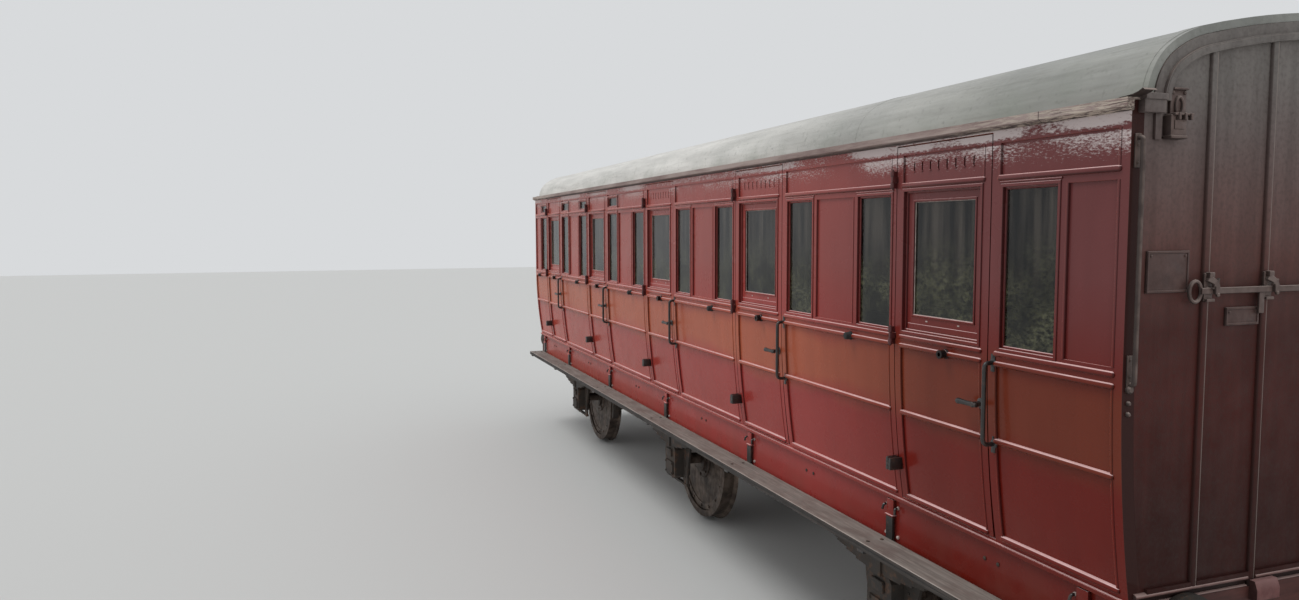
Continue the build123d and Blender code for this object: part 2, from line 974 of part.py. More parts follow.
def corner_handrail():
    """The upright rail at the corner beside side A, with its two plates."""
    low = body_base + handrail_low
    high = body_base + handrail_high
    root = half_length + rail_seat
    front = half_length + handrail_stand
    y = -handrail_place
    points = [(root, y, high), (front, y, high), (front, y, low), (root, y, low)]
    half_plate = handrail_plate_width / 2
    plate_starts = (handrail_low - handrail_radius, handrail_high + handrail_radius - handrail_plate_height)
    pieces = [bar_along(cut_corners(points, handrail_cut), handrail_radius)] + [
        on_end(0.0, handrail_plate_thickness, y - half_plate, y + half_plate, start, start + handrail_plate_height)
        for start in plate_starts
    ]
    return collect(pieces)


def stud(height):
    with BuildPart() as pin:
        with BuildSketch(Plane.YZ.offset(half_length)):
            with Locations((-handrail_place, body_base + height)):
                RegularPolygon(stud_radius, 8)
        extrude(amount=stud_length)
    return pin.part


def clip(y):
    """A bracket on a bead of the end that holds the level bar, with its turned-over lips."""
    half = clip_width / 2
    return [
        on_end(end_bead_proud, bar_stand + rail_seat, y - half, y + half, clip_low, clip_high),
        on_end(end_bead_proud, clip_lip_reach, y - half, y + half, clip_high - clip_lip, clip_high),
        on_end(end_bead_proud, clip_lip_reach, y - half, y + half, clip_low, clip_low + clip_lip),
    ]


level_pieces = [
    on_end(
        bar_stand, bar_stand + bar_thickness, -bar_half_length, bar_half_length, bar_height - bar_width / 2,
        bar_height + bar_width / 2,
    )
]
for side in (-1, 1):
    hang = side * clip_places[0]
    for place in clip_places:
        level_pieces += clip(side * place)
    level_pieces.append(
        oval_ring(side * ring_place, bar_height, ring_half_width, ring_half_height, ring_bar, bar_stand, bar_thickness)
    )
    level_pieces.append(
        on_end(
            bar_stand + bar_thickness - rail_seat, bar_stand + bar_thickness + hanging_bar_thickness,
            hang - hanging_bar_width / 2, hang + hanging_bar_width / 2, hanging_bar_low, bar_height,
        )
    )
level_bar = collect(level_pieces)

lamp_middle = -(lamp_plate_inner + lamp_plate_outer) / 2
lamp_bracket = collect(
    [
        on_end(0.0, lamp_plate_thickness, -lamp_plate_outer, -lamp_plate_inner, lamp_plate_low, lamp_plate_high),
        on_end(
            0.0, lamp_box_reach, -lamp_plate_outer - lamp_box_shift, -lamp_plate_inner - lamp_box_shift, lamp_box_low,
            lamp_plate_low,
        ),
        oval_ring(
            lamp_middle, (lamp_plate_low + lamp_plate_high) / 2, lamp_ring_half_width, lamp_ring_half_height,
            lamp_ring_bar, lamp_plate_thickness, lamp_ring_thickness,
        ),
    ]
)

corner_irons = [corner_handrail(), lamp_bracket] + [stud(height) for height in stud_heights]
end_irons = [level_bar] + corner_irons + [across(iron) for iron in corner_irons]
save("end_irons", collect(end_irons + [opposite(iron) for iron in end_irons]))

# Blank cast plates with a raised rim
plates = []
for y_low, y_high, low, high in plate_rows:
    solid_plate = on_end(0.0, plate_thickness, y_low, y_high, low, high)
    hollow = on_end(
        plate_thickness - plate_sunk, 2 * plate_thickness, y_low + plate_rim, y_high - plate_rim, low + plate_rim,
        high - plate_rim,
    )
    with BuildPart() as plate:
        add(solid_plate)
        add(hollow, mode=Mode.SUBTRACT)
    plates.append(plate.part)
save("end_plates", collect(plates + [opposite(plate) for plate in plates]))

# Underframe: solebars, headstocks, crossbars with longitudinals below them
frame_half_length = half_length + headstock_proud - headstock_thickness
solebar = block(
    -frame_half_length,
    frame_half_length,
    -solebar_face,
    -solebar_face + solebar_thickness,
    body_base - solebar_depth,
    body_base,
)
save("solebars", collect([solebar, opposite(solebar)]))

headstock = block(
    frame_half_length,
    frame_half_length + headstock_thickness,
    -solebar_face,
    solebar_face,
    body_base - headstock_depth,
    body_base,
)
save("headstocks", collect([headstock, opposite(headstock)]))

brake_bar_place = wheel_base_half - wheel_diameter / 2 - brake_gap - brake_thickness
crossbar_places = [500.0, 1320.0, 2040.0, brake_bar_place, wheel_base_half + 473.0, 4400.0]
crossbar_half = solebar_face - solebar_thickness
crossbars = [
    block(
        x - crossbar_width / 2, x + crossbar_width / 2, -crossbar_half, crossbar_half, body_base - crossbar_depth,
        body_base,
    )
    for x in crossbar_places
]
save("crossbars", collect(crossbars + [opposite(bar) for bar in crossbars]))

longitudinal = block(
    -frame_half_length,
    frame_half_length,
    -longitudinal_spacing / 2 - longitudinal_width / 2,
    -longitudinal_spacing / 2 + longitudinal_width / 2,
    body_base - crossbar_depth - longitudinal_depth,
    body_base - crossbar_depth,
)
save("longitudinals", collect([longitudinal, opposite(longitudinal)]))

# Footboards and the irons that carry them
footboard_top = body_base - footboard_drop
footboard = block(
    -half_length + footboard_end_inset,
    half_length - footboard_end_inset,
    -solebar_face - footboard_width,
    -solebar_face - step_iron_stand,
    footboard_top - footboard_thickness,
    footboard_top,
)
save("footboards", collect([footboard, opposite(footboard)]))


def step_iron(x):
    """A pad on the solebar with a strap that stands out and turns under the footboard."""
    low = footboard_top - footboard_thickness - step_iron_thickness
    outer = -solebar_face - footboard_width
    strap_outer = -solebar_face - step_iron_stand
    strap_inner = strap_outer + step_iron_thickness
    pad_outer = -solebar_face - step_pad_thickness
    pad_top = body_base - step_pad_top
    pad_foot = body_base - step_pad_foot
    with BuildPart() as iron:
        with BuildSketch(Plane.YZ.offset(x - step_iron_width / 2)):
            with BuildLine():
                Polyline(
                    (-solebar_face, pad_top), (-solebar_face, pad_foot), (strap_inner, pad_foot), (strap_inner, low),
                    (outer, low), (outer, low + step_iron_thickness), (strap_outer, low + step_iron_thickness),
                    (strap_outer, pad_foot), (pad_outer, pad_foot), (pad_outer, pad_top), close=True,
                )
            make_face()
        extrude(amount=step_iron_width)
    return iron.part


step_irons = [step_iron(x) for x in step_iron_places]
save("step_irons", collect(step_irons + [opposite(iron) for iron in step_irons]))

# Wheelsets: two wheels pressed on one axle
wheel_back = back_to_back / 2
tread_radius = wheel_diameter / 2
rim_radius = tread_radius - tyre_thickness
hub_end = wheel_back + hub_width


def wheel(x, side):
    """One wheel, turned about the axle line at this station."""
    points = [
        (wheel_back, wheel_seat_radius),
        (wheel_back, tread_radius + flange_depth),
        (wheel_back + flange_width, tread_radius),
        (wheel_back + wheel_width, tread_radius),
        (wheel_back + wheel_width, rim_radius),
        (wheel_back + wheel_width - rim_step, rim_radius),
        (wheel_back + web_at_hub, hub_radius),
        (hub_end, hub_radius),
        (hub_end, wheel_seat_radius),
    ]
    with BuildPart() as turned:
        with BuildSketch(Plane.YZ.offset(x)):
            with BuildLine():
                Polyline([(side * y, axle_height + r) for y, r in points], close=True)
            make_face()
        revolve(axis=Axis((x, 0, axle_height), (0, 1, 0)))
    return turned.part


def axle(x):
    """The axle, tapered to its middle, with its wheel seats and journals."""
    journal_end = journal_centres / 2 + axlebox_depth / 2 - journal_end_gap
    half = [
        (0.0, axle_radius), (wheel_back, wheel_seat_radius), (hub_end, wheel_seat_radius), (hub_end, journal_radius),
        (journal_end, journal_radius), (journal_end, 0.0),
    ]
    with BuildPart() as turned:
        with BuildSketch(Plane.YZ.offset(x)):
            with BuildLine():
                points = half + [(-y, r) for y, r in reversed(half)]
                Polyline([(y, axle_height + r) for y, r in points[:-1]], close=True)
            make_face()
        revolve(axis=Axis((x, 0, axle_height), (0, 1, 0)))
    return turned.part


for number, x in enumerate(axle_places, start=1):
    save(f"wheels_{number}", collect([wheel(x, -1), wheel(x, 1)]))
    save(f"axle_{number}", axle(x))

# Axleboxes, with a blind bore for the journal and a cover plate
journal_middle = journal_centres / 2


def axlebox(x):
    """One axlebox of side A."""
    inner = -journal_middle + axlebox_depth / 2
    with BuildPart() as box:
        with BuildSketch(Plane.XZ.offset(-inner)) as outline:
            with Locations((x, axle_height)):
                Rectangle(axlebox_width, axlebox_height)
            chamfer(outline.vertices(), length=axlebox_corner)
        extrude(amount=axlebox_depth)
        with BuildSketch(Plane.XZ.offset(-inner)):
            with Locations((x, axle_height)):
                Circle(journal_radius + journal_clearance)
        extrude(amount=axlebox_depth - axlebox_back, mode=Mode.SUBTRACT)
        with BuildSketch(Plane.XZ.offset(-inner + axlebox_depth)):
            with Locations((x, axle_height - cover_drop)):
                Rectangle(cover_width, cover_height)
        extrude(amount=cover_thickness)
    return box.part


axleboxes = [axlebox(x) for x in axle_places]
save("axleboxes", collect(axleboxes + [across(box) for box in axleboxes]))

# Axleguards: forked plates bolted inside the solebars, with the axlebox between their legs
guard_outer = -solebar_face + solebar_thickness
guard_foot = axle_height - axlebox_height / 2 - guard_below_box


def axleguard(x):
    """One forked plate of side A."""
    slot_half = axlebox_width / 2 + fit_gap
    with BuildPart() as guard:
        with BuildSketch(Plane.XZ.offset(-guard_outer - axleguard_thickness)):
            with BuildLine():
                Polyline(
                    (x - guard_half, body_base - guard_top),
                    (x - guard_half, body_base - solebar_depth),
                    (x - slot_half - guard_leg, guard_foot + guard_leg_height),
                    (x - slot_half - guard_leg, guard_foot),
                    (x - slot_half, guard_foot),
                    (x - slot_half, body_base - solebar_depth),
                    (x + slot_half, body_base - solebar_depth),
                    (x + slot_half, guard_foot),
                    (x + slot_half + guard_leg, guard_foot),
                    (x + slot_half + guard_leg, guard_foot + guard_leg_height),
                    (x + guard_half, body_base - solebar_depth),
                    (x + guard_half, body_base - guard_top),
                    close=True,
                )
            make_face()
        extrude(amount=axleguard_thickness)
    return guard.part


axleguards = [axleguard(x) for x in axle_places]
save("axleguards", collect(axleguards + [across(guard) for guard in axleguards]))

# Springs: leaves of falling length in a buckle on each axlebox
buckle_base = axle_height + axlebox_height / 2
spring_y = -solebar_face + solebar_thickness / 2
leaf_step = (spring_length - shortest_leaf) / spring_leaves


def leaf_spring(x):
    """One laminated spring of side A with its buckle."""
    centre_z = buckle_base + buckle_height - buckle_foot + spring_radius
    with BuildPart() as spring:
        for leaf in range(spring_leaves):
            outer = spring_radius + leaf * spring_leaf_thickness
            half_angle = asin((spring_length - leaf * leaf_step) / 2 / spring_radius)
            lower = outer + spring_leaf_thickness

            def on_leaf(radius, angle):
                return (x + radius * sin(angle), centre_z - radius * cos(angle))

            with BuildSketch(Plane.XZ.offset(-spring_y - spring_width / 2)):
                with BuildLine():
                    ThreePointArc(on_leaf(outer, -half_angle), on_leaf(outer, 0), on_leaf(outer, half_angle))
                    ThreePointArc(on_leaf(lower, -half_angle), on_leaf(lower, 0), on_leaf(lower, half_angle))
                    Line(on_leaf(outer, -half_angle), on_leaf(lower, -half_angle))
                    Line(on_leaf(outer, half_angle), on_leaf(lower, half_angle))
                make_face()
            extrude(amount=spring_width)
        with Locations((x, spring_y, buckle_base + buckle_height / 2)):
            Box(buckle_width, spring_width + 2 * buckle_side, buckle_height)
    return spring.part


springs = [leaf_spring(x) for x in axle_places]
save("springs", collect(springs + [across(spring) for spring in springs]))

# Spring hangers: brackets under the solebar that take the ends of the springs
hanger_reach = spring_length / 2
spring_end_z = (
    buckle_base + buckle_height - buckle_foot + spring_radius - spring_radius * cos(asin(hanger_reach / spring_radius))
)
hangers = []
for x in axle_places:
    for way in (-1, 1):
        end = x + way * hanger_reach
        low_x, high_x = sorted((end - way * hanger_inside, end + way * hanger_outside))
        hangers.append(
            block(
                low_x, high_x, spring_y - spring_width / 2, spring_y + spring_width / 2, spring_end_z + fit_gap,
                body_base - solebar_depth,
            )
        )
save("spring_hangers", collect(hangers + [across(hanger) for hanger in hangers]))

# Brake blocks on their hangers, inside the end wheels
brake_radius = tread_radius + brake_gap
brake_middle = wheel_back + (flange_width + wheel_width) / 2


def brake_block(x, way, side):
    """A curved block facing one tread, with the bar that hangs it from a crossbar."""
    half_width_y = (wheel_width - flange_width) / 2 - brake_side
    half_angle = brake_length / 2 / brake_radius
    back = x + way * (brake_radius + brake_thickness - brake_seat)
    middle_y = side * brake_middle
    low_x, high_x = sorted((back, back + way * brake_bar_thickness))
    bar = block(
        low_x, high_x, middle_y - brake_bar_width / 2, middle_y + brake_bar_width / 2, axle_height - brake_bar_low,
        body_base - crossbar_depth - fit_gap,
    )
    with BuildPart() as brake:
        with BuildSketch(Plane.XZ.offset(-middle_y - half_width_y)):
            with BuildLine():
                points = []
                for radius in (brake_radius, brake_radius + brake_thickness):
                    arc = [
                        (x + way * radius * cos(angle), axle_height + radius * sin(angle))
                        for angle in (-half_angle, 0.0, half_angle)
                    ]
                    ThreePointArc(*arc)
                    points.append(arc)
                Line(points[0][0], points[1][0])
                Line(points[0][2], points[1][2])
            make_face()
        extrude(amount=2 * half_width_y)
        add(bar)
    return brake.part


brakes = []
for side in (-1, 1):
    brakes.append(brake_block(wheel_base_half, -1, side))
    brakes.append(brake_block(-wheel_base_half, 1, side))
save("brake_blocks", collect(brakes))

# Vacuum cylinder hung under the crossbars, with its piston rod
cylinder_foot = body_base - crossbar_depth - cylinder_height
rod_height = axle_height - pull_rod_drop
with BuildPart() as cylinder:
    with BuildSketch(Plane.XY.offset(cylinder_foot)):
        with Locations((cylinder_place, 0.0)):
            Circle(cylinder_radius)
    extrude(amount=cylinder_height)
    with BuildSketch(Plane.XY.offset(rod_height + pull_rod_radius)):
        with Locations((cylinder_place, 0.0)):
            RegularPolygon(piston_radius, 8)
    extrude(amount=cylinder_foot - rod_height - pull_rod_radius)
save("vacuum_cylinder", cylinder.part)

# Brake rigging: a beam between the hangers of each end axle, and a pull rod from beam to beam
block_back = wheel_base_half - brake_radius - brake_thickness
beam_inner = block_back + brake_seat - brake_bar_thickness
beam_outer = block_back - fit_gap
beam_half = brake_middle - brake_bar_width / 2
beam_low = axle_height - brake_bar_low
beam = block(beam_inner, beam_outer, -beam_half, beam_half, beam_low, beam_low + beam_height)
drop_plate = block(
    beam_inner, beam_outer, -drop_plate_thickness / 2, drop_plate_thickness / 2, rod_height - pull_rod_radius,
    beam_low,
)
pull_rod = bar_along([(-beam_outer, 0.0, rod_height), (beam_outer, 0.0, rod_height)], pull_rod_radius)
save(
    "brake_rigging",
    collect([beam, drop_plate, pull_rod, opposite(beam), opposite(drop_plate)]),
)

# Buffers
buffer_y = buffer_centres / 2
buffer_z = flange_depth + buffer_height_above_rail
headstock_face = half_length + headstock_proud


def turned_on_end(points, y):
    """A body turned about a line along X, from rows of distance out from the headstock and radius."""
    with BuildPart() as turned:
        with BuildSketch(Plane.XZ.offset(-y)):
            with BuildLine():
                Polyline([(headstock_face + out, buffer_z + radius) for out, radius in points], close=True)
            make_face()
        revolve(axis=Axis((0, y, buffer_z), (1, 0, 0)))
    return turned.part


housing_rows = [
    (0.0, 0.0), (0.0, buffer_base_radius), (buffer_base_thickness, buffer_base_radius),
    (buffer_base_thickness, buffer_neck_radius), (buffer_housing_length, buffer_mouth_radius),
    (buffer_housing_length, 0.0),
]
head_rows = [
    (buffer_housing_length, 0.0), (buffer_housing_length, buffer_rod_radius),
    (buffer_reach - buffer_head_back, buffer_rod_radius),
    (buffer_reach - buffer_head_thickness - buffer_face_depth, buffer_head_radius),
    (buffer_reach - buffer_face_depth, buffer_head_radius), (buffer_reach, buffer_face_radius), (buffer_reach, 0.0),
]
housings = [turned_on_end(housing_rows, side * buffer_y) for side in (-1, 1)]
heads = [turned_on_end(head_rows, side * buffer_y) for side in (-1, 1)]
save("buffer_housings", collect(housings + [opposite(housing) for housing in housings]))
save("buffer_heads", collect(heads + [opposite(head) for head in heads]))

# Drawhook with its plate, and two links of its chain
hook_plate_block = block(
    headstock_face, headstock_face + hook_plate_thickness, -hook_plate / 2, hook_plate / 2,
    buffer_z - hook_plate / 2, buffer_z + hook_plate / 2,
)
hook_rows = [
    (0.0, -hook_half_height), (hook_bed_end, -hook_half_height), (hook_length, hook_chin_height),
    (hook_length, hook_horn_height), (hook_length - hook_horn_width, hook_horn_height),
    (hook_bed_end, hook_bed_height), (hook_bed_start, hook_bed_height),
    (hook_bed_start - hook_slope, hook_half_height), (0.0, hook_half_height),
]
with BuildPart() as drawhook:
    with BuildSketch(Plane.XZ.offset(-hook_thickness / 2)):
        with BuildLine():
            Polyline([(headstock_face + out, buffer_z + up) for out, up in hook_rows], close=True)
        make_face()
    extrude(amount=hook_thickness)
    add(hook_plate_block)


def chain_link(plane, middle, top):
    """A square-cornered link hanging in this plane: its middle across the plane and its top's height."""
    with BuildPart() as link:
        with BuildSketch(plane.offset(-link_thickness / 2)):
            with Locations((middle, top - link_length / 2)):
                Rectangle(link_width, link_length)
                Rectangle(link_width - 2 * link_thickness, link_length - 2 * link_thickness, mode=Mode.SUBTRACT)
        extrude(amount=link_thickness)
    return link.part


link_x = headstock_face + (hook_bed_start + hook_bed_end) / 2
first_top = buffer_z + hook_bed_height + link_thickness
second_top = first_top - link_length + 2 * link_thickness
links = [chain_link(Plane.YZ.offset(link_x), 0.0, first_top), chain_link(Plane.XZ, link_x, second_top)]
drawgear = [drawhook.part] + links
save("drawgear", collect(drawgear + [opposite(piece) for piece in drawgear]))

# A block with bevelled edges on each headstock
headstock_block = block(
    headstock_face, headstock_face + block_reach, -block_outer, -block_inner, body_base - block_low,
    body_base + block_high,
)
with BuildPart() as bevelled:
    add(headstock_block)
    chamfer(bevelled.faces().sort_by(Axis.X)[-1].edges(), length=block_edge)
save("headstock_blocks", collect([bevelled.part, opposite(bevelled.part)]))
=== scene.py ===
import json
from math import asin, cos, pi, radians, sin

import bmesh
import bpy
from mathutils import Matrix, Vector


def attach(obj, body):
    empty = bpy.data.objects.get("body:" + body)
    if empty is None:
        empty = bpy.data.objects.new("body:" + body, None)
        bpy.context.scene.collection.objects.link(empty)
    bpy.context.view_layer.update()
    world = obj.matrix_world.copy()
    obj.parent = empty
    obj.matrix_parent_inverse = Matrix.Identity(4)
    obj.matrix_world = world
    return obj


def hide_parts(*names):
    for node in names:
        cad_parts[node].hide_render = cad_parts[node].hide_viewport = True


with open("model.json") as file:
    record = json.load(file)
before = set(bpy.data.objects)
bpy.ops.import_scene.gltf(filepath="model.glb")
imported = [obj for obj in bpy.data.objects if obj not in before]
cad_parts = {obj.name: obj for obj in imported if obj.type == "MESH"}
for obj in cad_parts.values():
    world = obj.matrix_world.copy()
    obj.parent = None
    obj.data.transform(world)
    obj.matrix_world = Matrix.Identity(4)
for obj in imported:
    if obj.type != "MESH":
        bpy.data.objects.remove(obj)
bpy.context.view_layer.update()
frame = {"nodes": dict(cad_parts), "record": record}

# Sizes in metres. A height called "up" is measured from the underside of the body.
half_length, half_width, body_base = 5.080, 1.219, 1.218
turn_under, turn_under_inset = 0.918, 0.076
turn_under_radius = (turn_under**2 + turn_under_inset**2) / (2 * turn_under_inset)
side_top, roof_setback = 1.958, 0.059
crown_radius, shoulder_radius, haunch_radius, shoulder_angle = 3.800, 0.520, 0.265, radians(34)
door_pitch, door_width, door_gap = 1.988, 0.712, 0.006
hinge_stand_off = 0.026
light_low, light_high, quarter_width = 0.944, 1.665, 0.320
latch_pillar, hinge_pillar, stile = 0.080, 0.048, 0.050
drop_width, drop_low, drop_high = 0.582, 0.950, 1.675
sash_side, sash_head, sash_foot, sash_recess = 0.059, 0.054, 0.087, 0.022
toplight_low, toplight_high = 1.732, 1.834
solebar_face = 1.135
flange_depth, tread_radius, wheel_base_half = 0.028, 0.546, 3.353
axle_height = flange_depth + tread_radius
buffer_side, buffer_height = 0.870, flange_depth + 1.050
headstock_face = half_length + 0.010

# The rails across the sides, with the recessed panels behind them
rail_heights = [0.049, 0.512, 0.870, 0.916, 1.707]
eaves_high = 1.861
rail_width, rail_proud, panel_recess = 0.026, 0.0115, 0.009
behind_panel = panel_recess + 0.001

door_centres = [door_pitch * step for step in (2, 1, 0, -1, -2)]
has_toplights = [False, False, False, True, True]
has_slots = [True, True, True, False, False]
# Hinge rows: height of the middle, length and reach of the flaps
hinge_rows = [(0.226, 0.066, 0.030), (0.918, 0.095, 0.010), (1.739, 0.090, 0.010)]
slot_count, slot_spread, slot_low, slot_high = 8, 0.450, 1.776, 1.818
end_beads, broken_beads = [-0.820, -0.493, -0.166, 0.166, 0.493, 0.820], (-0.493, 0.493)
station_step, least_mitre = 0.13, 0.4

# The frame's axes: along the coach, across it and up. Side B is side A turned half a turn.
X, Y, Z = Vector((1, 0, 0)), Vector((0, 1, 0)), Vector((0, 0, 1))
both = (-1, 1)
half_turn = Matrix.Rotation(pi, 4, "Z")
sides = (("a", Matrix()), ("b", half_turn))
scene = bpy.context.scene


# Places on the coach
def lean(up):
    """The side's slope at this height, as an angle from upright."""
    return asin(max(0.0, turn_under - up) / turn_under_radius)


def inset(up):
    """How far the side stands in from its plane at this height."""
    return turn_under_radius * (1 - cos(lean(up)))


def side_out(up):
    """The outward direction of side A at this height."""
    return Vector((0, -cos(lean(up)), -sin(lean(up))))


def side_point(x, up, out=0.0):
    """A point of side A, standing out from its face."""
    return Vector((x, -half_width + inset(up), body_base + up)) + side_out(up) * out


def end_point(y, up, out=0.0):
    """A point of the near end, standing out from its face."""
    return Vector((half_length + out, y, body_base + up))


def solebar_point(x, up, out=0.0):
    """A point of side A's solebar, standing out from its face."""
    return Vector((x, -solebar_face - out, body_base + up))


def hinge_line(centre):
    """The X of a door's hinge side."""
    return centre - door_width / 2 - door_gap / 2


def heights(low, high):
    """Stations from low to high, close together only where the side curves."""
    bend = min(high, turn_under)
    count = max(1, round((bend - low) / station_step)) if bend > low else 0
    stations = [low + (bend - low) * i / count for i in range(count + 1)] if count else [low]
    return stations + [high] if high > bend + 1e-6 else stations


def arch(depth, stations=7):
    """Points (y, z) of the roof line moved in by this depth, from side A over to side B."""
    spread = half_width - roof_setback - haunch_radius - (shoulder_radius - haunch_radius) * sin(shoulder_angle)
    crown_angle = asin(spread / (crown_radius - shoulder_radius))
    arcs = [(crown_radius, 0.0, crown_angle), (shoulder_radius, crown_angle, shoulder_angle),
            (haunch_radius, shoulder_angle, pi / 2)]
    rise = sum(radius * (cos(start) - cos(end)) for radius, start, end in arcs)
    y, z, half = 0.0, body_base + side_top + rise, []
    for radius, start, end in arcs:
        centre_y, centre_z = y - radius * sin(start), z - radius * cos(start)
        for i in range(stations + 1):
            angle = start + (end - start) * i / stations
            if i or not half:
                half.append((centre_y + (radius - depth) * sin(angle), centre_z + (radius - depth) * cos(angle)))
        y, z = centre_y + radius * sin(end), centre_z + radius * cos(end)
    return [(-y, z) for y, z in reversed(half)] + half[1:]


# Profiles, as (across, out) pairs
def round_bead(width, proud, steps=6, sunk=0.002, shoulder=0.0):
    """A moulding with a round face over upright edges, its back sunk into what carries it."""
    turns = [pi * i / steps for i in range(steps + 1)]
    arc = [(-width / 2 * cos(turn), shoulder + (proud - shoulder) * sin(turn)) for turn in turns]
    return [(-width / 2, -sunk)] + arc + [(width / 2, -sunk)]


def flat_bead(width, proud, edge, sunk=0.002):
    """A flat moulding with softened edges."""
    half = width / 2
    return [(-half, -sunk), (-half, proud - edge), (-half + edge, proud), (half - edge, proud), (half, proud - edge),
            (half, -sunk)]


def rod(radius, count=10):
    """A round bar."""
    return [(radius * cos(2 * pi * i / count), radius * sin(2 * pi * i / count)) for i in range(count)]


def softened(points, radius, steps=4):
    """The same open path with its corners rounded."""
    path = [points[0]]
    for before, corner, after in zip(points, points[1:], points[2:]):
        cut = min(radius, (before - corner).length / 2, (after - corner).length / 2)
        start, end = (corner + (other - corner).normalized() * cut for other in (before, after))
        path += [start.lerp(corner, i / steps).lerp(corner.lerp(end, i / steps), i / steps) for i in range(steps + 1)]
    return path + [points[-1]]


def ring_faces(rings, count, closed):
    """Faces over rings of this many vertices each, with the ends filled in or joined to each other."""
    faces = []
    for ring in range(rings if closed else rings - 1):
        a, b = ring * count, (ring + 1) % rings * count
        faces += [[a + i, a + (i + 1) % count, b + (i + 1) % count, b + i] for i in range(count)]
    return faces if closed else faces + [list(range(count)), list(range((rings - 1) * count, rings * count))]


class Shape:
    """Vertices and faces gathered from small forms, to become one piece."""

    def __init__(self):
        self.vertices, self.faces = [], []

    def add(self, vertices, faces):
        """Adds vertices, and faces that count from the first of them."""
        start = len(self.vertices)
        self.vertices += [Vector(vertex) for vertex in vertices]
        self.faces += [[start + i for i in face] for face in faces]

    def join(self, other, matrix=Matrix()):
        """Adds another shape, moved by a matrix."""
        self.add([matrix @ v for v in other.vertices], other.faces)

    def copy(self, matrix):
        """The same shape at another place."""
        other = Shape()
        other.join(self, matrix)
        return other

    def with_opposite(self):
        """Both this and the same turned half a turn about the coach's middle."""
        self.join(self.copy(half_turn))
        return self

    def take(self, form, rims, edge, place=Matrix(), steps=2):
        """Rounds these edges of a bmesh form, adds it at its place and frees it."""
        bmesh.ops.bevel(form, geom=rims, offset=edge, segments=steps, affect="EDGES", profile=0.5)
        form.verts.index_update()
        self.add([place @ v.co for v in form.verts], [[v.index for v in face.verts] for face in form.faces])
        form.free()

    def sweep(self, path, outs, profile, closed=False):
        """A closed profile carried along a path and mitred at its corners."""
        count, vertices = len(path), []
        if isinstance(outs, Vector):
            outs = [outs] * count
        for index, (point, out) in enumerate(zip(path, outs)):
            ahead = path[(index + 1) % count] - point if closed or index < count - 1 else point - path[index - 1]
            behind = point - path[index - 1] if closed or index else ahead
            ahead, behind = ahead.normalized(), behind.normalized()
            tangent = (ahead + behind).normalized()
            across = tangent.cross(out).normalized() / max(least_mitre, tangent.dot(ahead))
            vertices += [point + across * side + out * height for side, height in profile]
        self.add(vertices, ring_faces(count, len(profile), closed))

    def turned(self, rows, centre, axis, count=20, hollow=False):
        """A body of revolution from rows of distance along the axis and radius; a hollow one closes on itself."""
        axis = Vector(axis).normalized()
        side = axis.orthogonal().normalized()
        other = axis.cross(side)
        spokes = [side * cos(2 * pi * i / count) + other * sin(2 * pi * i / count) for i in range(count)]
        self.add([Vector(centre) + axis * along + spoke * radius for along, radius in rows for spoke in spokes],
                 ring_faces(len(rows), count, hollow))

    def prism(self, outline, thickness, edge):
        """An outline in the XZ plane made this thick across the coach, with softened edges."""
        form = bmesh.new()
        base = form.faces.new([form.verts.new((x, -thickness / 2, z)) for x, z in outline])
        grown = bmesh.ops.extrude_face_region(form, geom=[base])
        moved = [item for item in grown["geom"] if isinstance(item, bmesh.types.BMVert)]
        bmesh.ops.translate(form, vec=(0, thickness, 0), verts=moved)
        rims = [line for line in form.edges if abs(line.verts[0].co.y - line.verts[1].co.y) < 1e-6]
        self.take(form, rims, edge)

    def slab(self, centre, size, edge=0.003, turn=Matrix(), steps=2):
        """A block with rounded edges."""
        form = bmesh.new()
        bmesh.ops.create_cube(form, size=1.0)
        bmesh.ops.scale(form, vec=Vector(size), verts=form.verts)
        self.take(form, form.edges[:], edge, Matrix.Translation(centre) @ turn, steps)

    def end_slabs(self, y, way, *rows):
        """Blocks on the near end, from rows of across, up, out, size and edge."""
        for across, up, out, size, edge in rows:
            self.slab(end_point(y + way * across, up, out), size, edge)

    def bolt(self, place, out, radius=0.008, height=0.006, count=6):
        """A nut or bolt head with a low crown."""
        rows = [(-0.002, radius), (height * 0.75, radius), (height, radius * 0.7), (height + 0.0005, radius * 0.2)]
        self.turned(rows, place, out, count)

    def nail(self, place, out, radius=0.0022, height=0.0012):
        """A small domed nail head."""
        self.turned([(-0.0005, radius), (height * 0.6, radius * 0.8), (height, radius * 0.3)], place, out, 6)

    def oval(self, y, up, out, reach, rise, bar, count):
        """A ring of round bar on the near end."""
        turns = [2 * pi * i / count for i in range(count)]
        ring = [end_point(y + reach * cos(turn), up + rise * sin(turn), out) for turn in turns]
        self.sweep(ring, X, rod(bar, 8), True)


def new_object(name, data):
    """An object with this data, in the scene."""
    made = bpy.data.objects.new(name, data)
    scene.collection.objects.link(made)
    return made


def new_mesh(name, shape):
    """A mesh of this shape's vertices and faces."""
    mesh = bpy.data.meshes.new(name)
    mesh.from_pydata(shape.vertices, [], shape.faces)
    return mesh


def piece(name, shape, slot, look=None, body="coach", sharp=38):
    """Makes one piece of the object, with the slot's own look unless another is named, and lets it ride on its body."""
    mesh = new_mesh(name, shape)
    form = bmesh.new()
    form.from_mesh(mesh)
    bmesh.ops.recalc_face_normals(form, faces=form.faces)
    form.to_mesh(mesh)
    form.free()
    mesh.polygons.foreach_set("use_smooth", [True] * len(mesh.polygons))
    mesh.set_sharp_from_angle(angle=radians(sharp))
    mesh.materials.append(looks[look or slot])
    made = new_object(name, mesh)
    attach(made, body)
    return made


